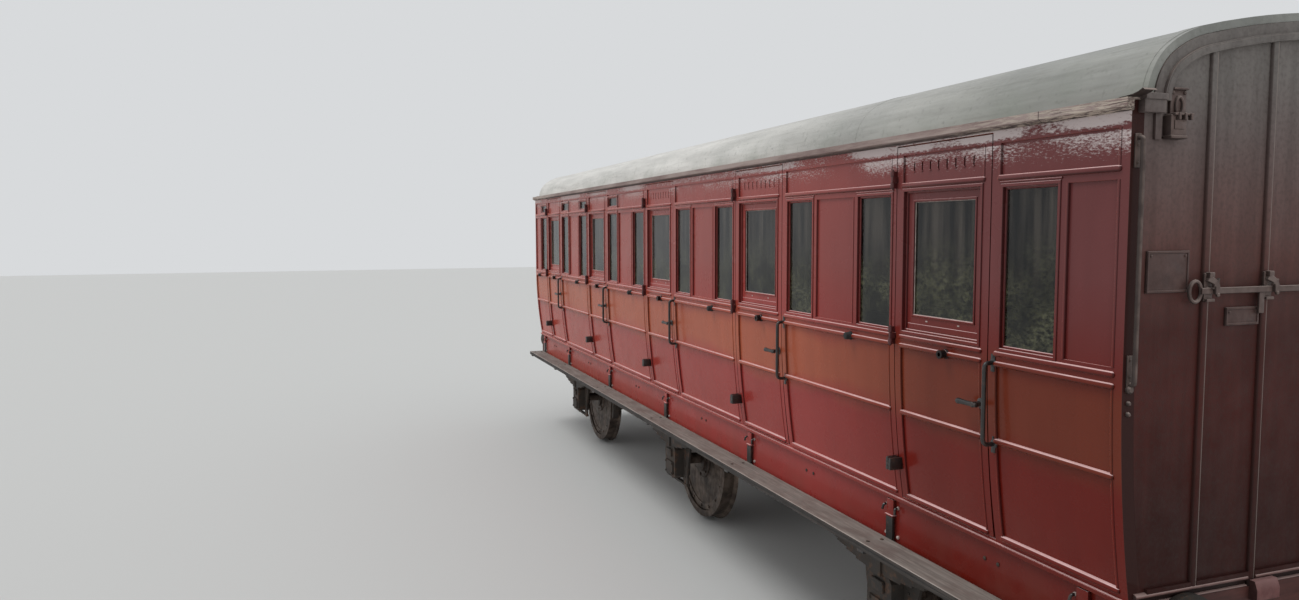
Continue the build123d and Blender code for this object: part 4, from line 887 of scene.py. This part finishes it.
def grab_handle(shape, centre):
    """The D handle beside one door, on two bosses."""
    x = centre + door_width / 2 + (door_gap + latch_pillar) / 2
    top, bottom, stand = 0.873, 0.497, 0.050
    corners = [Vector((x, -half_width - stand, body_base + up)) for up in (top, bottom)]
    shape.sweep(softened([side_point(x, top), *corners, side_point(x, bottom)], 0.034, 6), X, rod(0.0105, 12))
    for up in (top, bottom):
        shape.turned([(-0.001, 0.021), (0.004, 0.021), (0.009, 0.014)], side_point(x, up), side_out(up), 16)
        for end in both:
            shape.bolt(side_point(x, up + end * 0.030, 0.004), side_out(up), 0.005, 0.002, 8)
        shape.slab(side_point(x, up, 0.002), (0.026, 0.006, 0.082), 0.002, Matrix.Rotation(-lean(up), 4, "X"))


irons, painted, stops = Shape(), Shape(), Shape()
for centre in door_centres:
    hinge_half(irons, centre, -1, hinge_rows[:1])
    hinge_half(painted, centre, -1, hinge_rows[1:])
    grab_handle(irons, centre)
    bump_stop(stops, hinge_line(centre) - stop_reach)
fixed_irons = piece("side_handles_and_hinges", irons.with_opposite(), "black_iron")
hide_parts("side_irons")
piece("upper_hinges", painted.with_opposite(), "maroon_paint", "hinge_paint")
side_stops = piece("side_stops", stops.with_opposite(), "stop_rubber")
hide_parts("door_stops")


# Ends
def foot_mouldings():
    """The half-round moulding along the foot of the near end, broken at two of the beads, over a thinner one."""
    shape = Shape()
    for low, high in ((-1.125, -0.516), (-0.472, 0.472), (0.516, 1.125)):
        for up, width, proud in ((0.039, 0.022, 0.017), (0.004, 0.009, 0.012)):
            shape.sweep([end_point(low, up), end_point(high, up)], X, round_bead(width, proud, 10))
    return shape


def headstock_block():
    """The bevelled block that stands on the near headstock."""
    block = Shape()
    block.prism([(-0.010, -0.055), (0.034, -0.055), (0.038, -0.051), (0.038, -0.008), (0.025, 0.028), (-0.010, 0.028)],
                0.132, 0.002)
    return block.copy(Matrix.Translation((headstock_face, -0.437, body_base)))


def end_mouldings():
    """The upright beads of the near end, the two bands that follow the roof and the blocks at its corners."""
    shape, line = Shape(), arch(0.1065)
    for y in end_beads:
        (y_low, z_low), (y_high, z_high) = next(pair for pair in zip(line, line[1:]) if pair[0][0] <= y <= pair[1][0])
        top = z_low + (z_high - z_low) * (y - y_low) / (y_high - y_low) - body_base
        foot = 0.001 if y in broken_beads else 0.043
        shape.sweep([end_point(y, foot), end_point(y, top)], X, round_bead(0.036, 0.0145, 8, shoulder=0.0085))
    for depth, band in ((0.055, flat_bead(0.043, 0.0124, 0.001)), (0.091, flat_bead(0.032, 0.0250, 0.007))):
        shape.sweep([Vector((half_length, y, z)) for y, z in arch(depth)], X, band)
    for side in both:
        shape.end_slabs(0.0, side, (1.1375, 1.9345, 0.0145, (0.031, 0.107, 0.047), 0.002),
                        (1.1375, 1.970, 0.0170, (0.040, 0.109, 0.024), 0.004),
                        (1.100, 1.8635, 0.006, (0.013, 0.031, 0.100), 0.002))
    return shape


piece("end_mouldings_detail", end_mouldings().with_opposite(), "end_paint")
piece("end_foot_mouldings", foot_mouldings().with_opposite(), "end_paint", "scuffed_and_highlit_paint")
blocks = piece("bevelled_blocks", headstock_block().with_opposite(), "maroon_paint", "block_paint")
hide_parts("headstock_blocks")


def handrail(shape, side):
    """The upright rail at one corner of the near end, on two plates."""
    y, low, high, stand = side * 1.190, 0.884, 1.818, 0.027
    points = [end_point(y, high), end_point(y, high, stand), end_point(y, low, stand), end_point(y, low)]
    shape.sweep(softened(points, 0.022, 6), Y, rod(0.0095, 12))
    for up, way in ((high, -1), (low, 1)):
        shape.slab(end_point(y, up + way * 0.048, 0.003), (0.007, 0.030, 0.128), 0.002)
        for reach in (0.028, 0.094):
            shape.bolt(end_point(y, up + way * reach, 0.006), X, 0.0065, 0.003)
    shape.turned([(0, 0.017), (0.010, 0.016), (0.016, 0.010)], end_point(y, low - 0.020, 0.001), X, 14)


def lamp_bracket(shape, side):
    """A plate with an oval loop and hooks for a lamp."""
    y = side * 1.0055
    shape.end_slabs(y, side, (0.0, 1.9520, 0.0063, (0.0128, 0.080, 0.116), 0.002),
                    (0.022, 1.860, 0.0185, (0.038, 0.080, 0.091), 0.004),
                    (0.0, 2.004, 0.016, (0.020, 0.076, 0.008), 0.002),
                    (0.006, 1.906, 0.024, (0.050, 0.098, 0.009), 0.003),
                    (0.022, 1.868, 0.0385, (0.006, 0.050, 0.034), 0.002),
                    (0.022, 1.822, 0.0200, (0.046, 0.086, 0.012), 0.004))
    shape.end_slabs(y, 1, *((along, 1.898, 0.046, (0.016, 0.012, 0.026), 0.003) for along in (-0.034, -0.004, 0.026)))
    shape.oval(y, 1.940, 0.016, 0.018, 0.034, 0.0065, 20)
    for along, up in ((-0.030, 1.990), (0.030, 1.990), (0.030, 1.908)):
        shape.bolt(end_point(y + along, up, 0.012), X, 0.007, 0.006)


def clip(shape, nuts, y):
    """A bracket on a bead that holds the level rod, with a turned-over hook and two bolts."""
    shape.end_slabs(y, 1, (0.0, 1.250, 0.017, (0.010, 0.046, 0.110), 0.003),
                    (0.0, 1.296, 0.026, (0.026, 0.028, 0.024), 0.004))
    tongue = [end_point(y + along, up, out) for along, up, out in (
        (-0.014, 1.284, 0.026), (0.006, 1.272, 0.038), (0.018, 1.256, 0.041), (0.020, 1.224, 0.040))]
    shape.sweep(softened(tongue, 0.014), X, flat_bead(0.024, 0.009, 0.002))
    for along, up, out, radius, height in ((-0.014, 1.243, 0.022, 0.0095, 0.010), (0.008, 1.238, 0.022, 0.0095, 0.010),
                                           (0.020, 1.220, 0.044, 0.009, 0.008)):
        nuts.bolt(end_point(y + along, up, out), X, radius, height)
    shape.end_slabs(y, 1, (0.002, 1.198, 0.024, (0.020, 0.044, 0.012), 0.003))


def end_irons():
    """The level rod of the near end with its clips and loops, the lamp brackets and the studs, and the clips' nuts."""
    shape, nuts, rod_reach, rod_up = Shape(), Shape(), 0.868, 1.235
    shape.sweep([end_point(side * rod_reach, rod_up, 0.025) for side in both], X, flat_bead(0.025, 0.010, 0.002, 0.0))
    for side in both:
        lamp_bracket(shape, side)
        shape.oval(side * 0.893, 1.233, 0.024, 0.031, 0.041, 0.0075, 24)
        for bead in (0.820, 0.493):
            clip(shape, nuts, side * bead)
        shape.end_slabs(0.0, side, (0.531, 1.186, 0.024, (0.010, 0.030, 0.096), 0.003))
    for up in (0.810, 0.768):
        for side in both:
            shape.turned([(-0.001, 0.010), (0.006, 0.010), (0.012, 0.006), (0.013, 0.002)],
                         end_point(side * 1.190, up), X, 10)
    return shape, nuts


rails = Shape()
for side in both:
    handrail(rails, side)
piece("corner_handrails", rails.with_opposite(), "black_iron", "bare_steel")
shape, nuts = end_irons()
brackets = piece("end_brackets", shape.with_opposite(), "black_iron", "end_iron")
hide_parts("end_irons")
piece("end_nuts", nuts.with_opposite(), "black_iron", "bare_steel")


def plates():
    """Two blank cast plates with raised rims and screws."""
    shape, edge = Shape(), 0.006
    for y_low, y_high, low, high in ((-1.128, -0.912, 1.231, 1.393), (-0.703, -0.520, 1.091, 1.165)):
        shape.slab(end_point((y_low + y_high) / 2, (low + high) / 2, 0.004), (0.010, y_high - y_low, high - low), 0.002)
        left, right, foot, top = y_low + edge, y_high - edge, low + edge, high - edge
        corners = [end_point(y, up, 0.009) for y, up in ((left, foot), (right, foot), (right, top), (left, top))]
        shape.sweep(corners, X, flat_bead(0.009, 0.003, 0.001), True)
        for y in (y_low + 0.020, y_high - 0.020):
            shape.bolt(end_point(y, high - 0.020, 0.009), X, 0.006, 0.003, 10)
    return shape


blank_plates = piece("blank_plates", plates().with_opposite(), "blank_plate")
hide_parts("end_plates")

# Soft seats
floor_thickness, seat_board_height, back_thickness = 0.060, 0.330, 0.080
cushion_height, back_height, seat_gap = 0.110, 0.620, 0.0003
seat_half_width = half_width - turn_under_inset - 0.060 - 0.008 - seat_gap
partition_half, end_wall_thickness = 0.020, 0.050
seams = [-0.645, -0.215, 0.215, 0.645]
voxel, seam_depth, pressure, cloth_frames = 0.028, 0.020, 4.0, 20


def evaluated(pad):
    """The pad as its modifiers leave it."""
    return pad.evaluated_get(bpy.context.evaluated_depsgraph_get())


def swollen(name, size, faces_out, cap):
    """A pad of this size in its own frame, swollen by pressure between its sewn channels."""
    shape = Shape()
    shape.slab((0, 0, 0), size, 0.022, steps=3)
    pad = new_object(name, new_mesh(name, shape))
    remesh = pad.modifiers.new("remesh", "REMESH")
    remesh.mode, remesh.voxel_size = "VOXEL", voxel
    pad.data = bpy.data.meshes.new_from_object(evaluated(pad))
    pad.modifiers.clear()
    front = max(v.co.dot(faces_out) for v in pad.data.vertices)
    held = []
    for vertex in pad.data.vertices:
        depth = front - vertex.co.dot(faces_out)
        near_seam = min(abs(vertex.co.y - seam) for seam in seams)
        sewn = near_seam < voxel * 0.55 and depth < voxel
        if sewn:
            vertex.co -= faces_out * seam_depth
        if sewn or depth > 2 * front - voxel:
            held.append(vertex.index)
    pad.vertex_groups.new(name="held").add(held, 1.0, "REPLACE")
    rest = [vertex.co.copy() for vertex in pad.data.vertices]
    cloth = pad.modifiers.new("cloth", "CLOTH")
    cloth.settings.vertex_group_mass = "held"
    cloth.settings.use_pressure = True
    cloth.settings.uniform_pressure_force = pressure
    cloth.settings.effector_weights.gravity = 0.0
    for number in range(1, cloth_frames + 1):
        scene.frame_set(number)
    moved = [vertex.co.copy() for vertex in evaluated(pad).data.vertices]
    pad.modifiers.clear()
    scene.frame_set(1)
    for vertex, before, after in zip(pad.data.vertices, rest, moved):
        step = after - before
        vertex.co = before + step * min(1.0, cap / max(step.length, 1e-9))
    form = Shape()
    form.add([v.co for v in pad.data.vertices], [list(face.vertices) for face in pad.data.polygons])
    bpy.data.objects.remove(pad)
    return form


def piping(form, steps=36):
    """The cord along a pad's outermost points towards its upper front, from side to side."""
    direction = Vector((1, 0, 1)).normalized()
    reach = max(v.y for v in form.vertices)
    line = []
    for i in range(steps + 1):
        y = reach * (2 * i / steps - 1) * 0.985
        nearby = [v for v in form.vertices if abs(v.y - y) < voxel * 1.1]
        if nearby:
            best = max(nearby, key=lambda v: v.dot(direction))
            line.append(Vector((best.x, y, best.z)))
    line = [line[0]] + [(a + b * 2 + c) / 4 for a, b, c in zip(line, line[1:], line[2:])] + [line[-1]]
    cord = Shape()
    cord.sweep(line, Vector((0.7, 0, 0.7)), rod(0.006, 8))
    return cord


seat_form = swollen("seat", (0.397, 2 * seat_half_width - 0.02, 0.092), Z, 0.016)
back_form = swollen("back", (0.062, 2 * seat_half_width - 0.02, 0.600), X, 0.012)
seat_piping, back_piping, buttons = piping(seat_form), piping(back_form), Shape()
for seam in seams:
    for up in (-0.12, 0.12):
        front = max(v.x for v in back_form.vertices if abs(v.y - seam) < voxel and abs(v.z - up) < voxel)
        buttons.turned([(-0.012, 0.011), (0.002, 0.011), (0.0045, 0.007), (0.005, 0.002)], (front - 0.006, seam, up),
                       X, 12)

cushions, backs, trimmings = Shape(), Shape(), Shape()
end_wall = half_length - end_wall_thickness
walls = [(end_wall, -1), (-end_wall, 1)]
for step in (1.5, 0.5, -0.5, -1.5):
    walls += [(door_pitch * step + partition_half, 1), (door_pitch * step - partition_half, -1)]
board = body_base + floor_thickness + seat_board_height
for face, way in walls:
    facing = Matrix.Diagonal((way, 1, 1, 1))
    seat_place = Matrix.Translation((face + way * (back_thickness + 0.2105), 0, board + cushion_height / 2)) @ facing
    back_place = Matrix.Translation((face + way * back_thickness / 2, 0, board + back_height / 2)) @ facing
    for shape, form, place in ((cushions, seat_form, seat_place), (backs, back_form, back_place),
                               (trimmings, seat_piping, seat_place), (trimmings, back_piping, back_place),
                               (trimmings, buttons, back_place)):
        shape.join(form, place)
seat_pads = piece("seat_cushion_pads", cushions, "seat_cloth", sharp=180)
back_pads = piece("seat_back_pads", backs, "seat_cloth", sharp=180)
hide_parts("seat_cushions")
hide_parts("seat_backs")
piece("seat_piping_and_buttons", trimmings, "seat_cloth")

# Solebars and footboards
step_iron_places = [4.860, 3.510, 1.745, 0.0, -1.745, -3.510, -4.860]
pads, hooks, nuts, bolts = Shape(), Shape(), Shape(), Shape()
for x in step_iron_places:
    pads.slab(solebar_point(x, -0.055, 0.010), (0.062, 0.020, 0.090), 0.002)
    pads.slab(solebar_point(x, -0.101, 0.014), (0.072, 0.034, 0.008), 0.002)
    for side in both:
        start = solebar_point(x + side * 0.052, -0.052)
        bend = [start, start - Y * 0.026, start + Vector((side * 0.006, -0.030, -0.030))]
        hooks.sweep(softened(bend, 0.014), X, rod(0.007, 8))
        nuts.turned([(-0.001, 0.010), (0.008, 0.010), (0.011, 0.006)], start, -Y, 6)
        nuts.bolt(solebar_point(x + side * 0.055, -0.215), -Y, 0.010, 0.010)
    for out in (0.070, 0.160):
        bolts.bolt(solebar_point(x, -0.235, out), Z, 0.011, 0.004, 10)
piece("step_iron_pads", pads.with_opposite(), "maroon_paint")
piece("hook_bolts", hooks.with_opposite(), "black_iron")
piece("hook_bolt_nuts", nuts.with_opposite(), "black_iron", "pale_nut")
for x in (4.30, 2.60, 0.85, -0.85, -2.60, -4.30):
    for side in both:
        bolts.bolt(solebar_point(x + side * 0.045, -0.090), -Y, 0.010, 0.006)
piece("footboard_and_solebar_bolts", bolts.with_opposite(), "frame_iron")


# Buffers, hooks and chains
def buffer_trim(shape, side):
    """The bolts, mouth ring and head rim of one buffer of the near end."""
    centre = Vector((headstock_face, side * buffer_side, buffer_height))
    for i in range(4):
        angle = pi / 4 + pi / 2 * i
        shape.bolt(centre + Vector((0.028, 0.140 * cos(angle), 0.140 * sin(angle))), X, 0.014, 0.012)
    rim = [(0.306, 0.094), (0.306, 0.101), (0.310, 0.104), (0.328, 0.104), (0.332, 0.101), (0.332, 0.060)]
    mouth = [(0.028, 0.121), (0.028, 0.134), (0.036, 0.130), (0.048, 0.120)]
    for rows in (rim, mouth):
        shape.turned(rows, centre, X, 32, True)


link_length, link_bar = 0.280, 0.012


def round_link(shape, middle, across):
    """A link of round bar hanging from this point, as wide as the solid one."""
    half, drop = across * 0.042, -Z * link_length
    path = [middle, middle - half, middle - half + drop, middle + half + drop, middle + half, middle]
    shape.sweep(softened(path, 0.038, 6)[:-1], across.cross(Z), rod(link_bar, 12), True)


def drawgear():
    """The near end's drawhook on its bolted plate, with two links of chain."""
    shape, hook = Shape(), Shape()
    centre = Vector((headstock_face, 0, buffer_height))
    shape.slab(centre + X * 0.010, (0.020, 0.230, 0.230), 0.004)
    for y in (-0.085, 0.085):
        for z in (-0.085, 0.085):
            shape.bolt(centre + Vector((0.020, y, z)), X, 0.015, 0.013)
    hook.prism([(0.010, -0.045), (0.150, -0.045), (0.195, -0.041), (0.228, -0.021), (0.247, 0.012), (0.250, 0.050),
                (0.246, 0.078), (0.234, 0.085), (0.220, 0.080), (0.214, 0.056), (0.203, 0.036), (0.187, 0.030),
                (0.148, 0.030), (0.130, 0.033), (0.112, 0.044), (0.010, 0.045)], 0.044, 0.008)
    shape.join(hook, Matrix.Translation(centre))
    shape.turned([(0.018, 0.062), (0.034, 0.060), (0.046, 0.052), (0.050, 0.030)], centre, X, 20)
    first = centre + Vector((0.160, 0, 0.042))
    round_link(shape, first, Y)
    round_link(shape, first + Z * (2 * link_bar - link_length), X)
    return shape


buffers = Shape()
for side in both:
    buffer_trim(buffers, side)
piece("buffer_trim", buffers.with_opposite(), "frame_iron")
hooks_and_chains = piece("hooks_and_chains", drawgear().with_opposite(), "frame_iron")
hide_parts("drawgear")


# Running gear
def wheel_trim(shape, bolts, x, side):
    """Retaining rings, hub plates and bolts on the faces of one wheel."""
    for face, way, turn, hub_face in ((0.784, 1, 0.0, 0.0085), (0.680, -1, 0.2, 0.0)):
        out, place = Y * (side * way), Vector((x, side * face, axle_height))
        ring = [(-0.002, 0.428), (0.008, 0.430), (0.010, 0.434), (0.010, 0.482), (0.004, 0.4855), (-0.002, 0.4855)]
        hub = [(-0.002, 0.122), (hub_face + 0.010, 0.122), (hub_face + 0.010, 0.182), (hub_face + 0.004, 0.188),
               (-0.002, 0.188)]
        shape.turned(ring, place, out, 48, True)
        shape.turned(hub, place, out, 32, True)
        for count, radius, height in ((16, 0.458, 0.010), (8, 0.158, hub_face + 0.010)):
            for i in range(count):
                angle = 2 * pi * (i + turn) / count
                bolts.bolt(place + Vector((radius * cos(angle), 0, radius * sin(angle))) + out * height, out,
                           0.013, 0.011)


axle_places = (wheel_base_half, 0.0, -wheel_base_half)
for number, x in enumerate(axle_places, start=1):
    rings, bolts = Shape(), Shape()
    for side in both:
        wheel_trim(rings, bolts, x, side)
    piece(f"wheelset_{number}_rings", rings, "wheel_steel", body=f"wheelset_{number}")
    piece(f"wheelset_{number}_bolts", bolts, "wheel_steel", body=f"wheelset_{number}")

boxes, guard_foot = Shape(), axle_height - 0.185
for x in axle_places:
    for side in both:
        out, face = Y * side, Vector((x, side * 1.110, axle_height))
        for along in (-0.070, 0.070):
            for up in (-0.105, -0.015):
                boxes.bolt(face + Vector((along, side * 0.014, up)), out, 0.010, 0.009)
        boxes.slab(face + Vector((0, side * 0.007, 0.075)), (0.110, 0.018, 0.060), 0.004)
        boxes.turned([(-0.055, 0.009), (0.055, 0.009)], face + Vector((0, side * 0.012, 0.108)), X, 10)
        boxes.slab((x, side * 1.016, guard_foot - 0.010), (0.430, 0.034, 0.022), 0.003)
        for along in (-0.165, 0.165):
            boxes.bolt((x + along, side * 1.016, guard_foot - 0.021), -Z, 0.012, 0.012)
            for up in (0.060, 0.160, 0.260):
                boxes.bolt((x + along, side * 1.025, guard_foot + up), out, 0.010, 0.006)
        boxes.slab((x, side * 1.080, axle_height + 0.243), (0.094, 0.120, 0.010), 0.003)
piece("axlebox_trim", boxes, "frame_iron")

# Roof: hems in the canvas, and the torn flashing at the gutter's near end
hems = Shape()
for x, width, proud in ((half_length - 0.045, 0.060, 0.0022), (3.1, 0.030, 0.0015), (0.9, 0.030, 0.0015)):
    path = [Vector((x, y, z)) for y, z in arch(0.0)]
    slopes = [after - before for before, after in zip(path[:1] + path, path[1:] + path[-1:])]
    hems.sweep(path, [Vector((0, -slope.z, slope.y)).normalized() for slope in slopes],
               flat_bead(width, proud, 0.0008))
piece("canvas_hems", hems.with_opposite(), "roof_canvas")

curl = Shape()
across = [(0.0, 0.0), (0.030, 0.001), (0.060, 0.004), (0.086, 0.011), (0.104, 0.021), (0.112, 0.014)]
corner = Vector((half_length - 0.030, -half_width - 0.036, body_base + side_top + 0.010))
depth, thickness = 0.062, 0.0012
sheet = [corner + Vector((along, out * depth, rise)) for along, rise in across for out in (0.0, 0.5, 1.0)]
half = len(sheet)
quads = [[r + c, r + c + 1, r + c + 4, r + c + 3] for r in range(0, half - 3, 3) for c in range(2)]
rim = [0, 1, 2, 5, 8, 11, 14, 17, 16, 15, 12, 9, 6, 3]
curl.add(sheet + [point - Z * thickness for point in sheet], quads + [[half + i for i in face] for face in quads]
         + [[a, b, half + b, half + a] for a, b in zip(rim, rim[1:] + rim[:1])])
piece("torn_flashing", curl, "gutter_paint", "bare_steel")

# Camera, solved from the photograph's vanishing lines
focal_pixels, image_width = 899.5, 1299
turn_to_side, tilt_down, roll = radians(19.75), radians(4.37), radians(0.21)
camera_place = Vector((half_length + 2.585, -half_width - 2.842, body_base + 1.475))
forward = Vector((-cos(turn_to_side) * cos(tilt_down), sin(turn_to_side) * cos(tilt_down), -sin(tilt_down)))
right = forward.cross(Z).normalized()
above = right.cross(forward)
right, above = right * cos(roll) - above * sin(roll), above * cos(roll) + right * sin(roll)
camera = new_object("camera", bpy.data.cameras.new("camera"))
camera.data.sensor_width = 36.0
camera.data.lens = focal_pixels / image_width * camera.data.sensor_width
camera.data.clip_end = 200.0
camera.matrix_world = Matrix.Translation(camera_place) @ Matrix((right, above, -forward)).transposed().to_4x4()
scene.camera = camera

# Floor, backdrop colour and light
floor_form, reach = Shape(), 60.0
floor_form.add([(-reach, -reach, 0), (reach, -reach, 0), (reach, reach, 0), (-reach, reach, 0)], [[0, 1, 2, 3]])
floor_plane = new_object("floor_plane", new_mesh("floor_plane", floor_form))
floor_look = Look("floor_grey")
floor_look.colour = paint(196, 196, 194)
floor_plane.data.materials.append(floor_look.finish(0.9))

world = bpy.data.worlds.new("studio")
scene.world = world
world.use_nodes = True
backdrop = world.node_tree.nodes["Background"].inputs
backdrop["Color"].default_value, backdrop["Strength"].default_value = paint(216, 218, 220), 1.0

sun = new_object("soft_sun", bpy.data.lights.new("soft_sun", "SUN"))
sun.data.energy, sun.data.angle = 1.2, radians(25)
sun.location = (-3, -6, 13)
sun.rotation_euler = (-sun.location).to_track_quat("-Z", "Y").to_euler()

scene.view_settings.view_transform = "Standard"
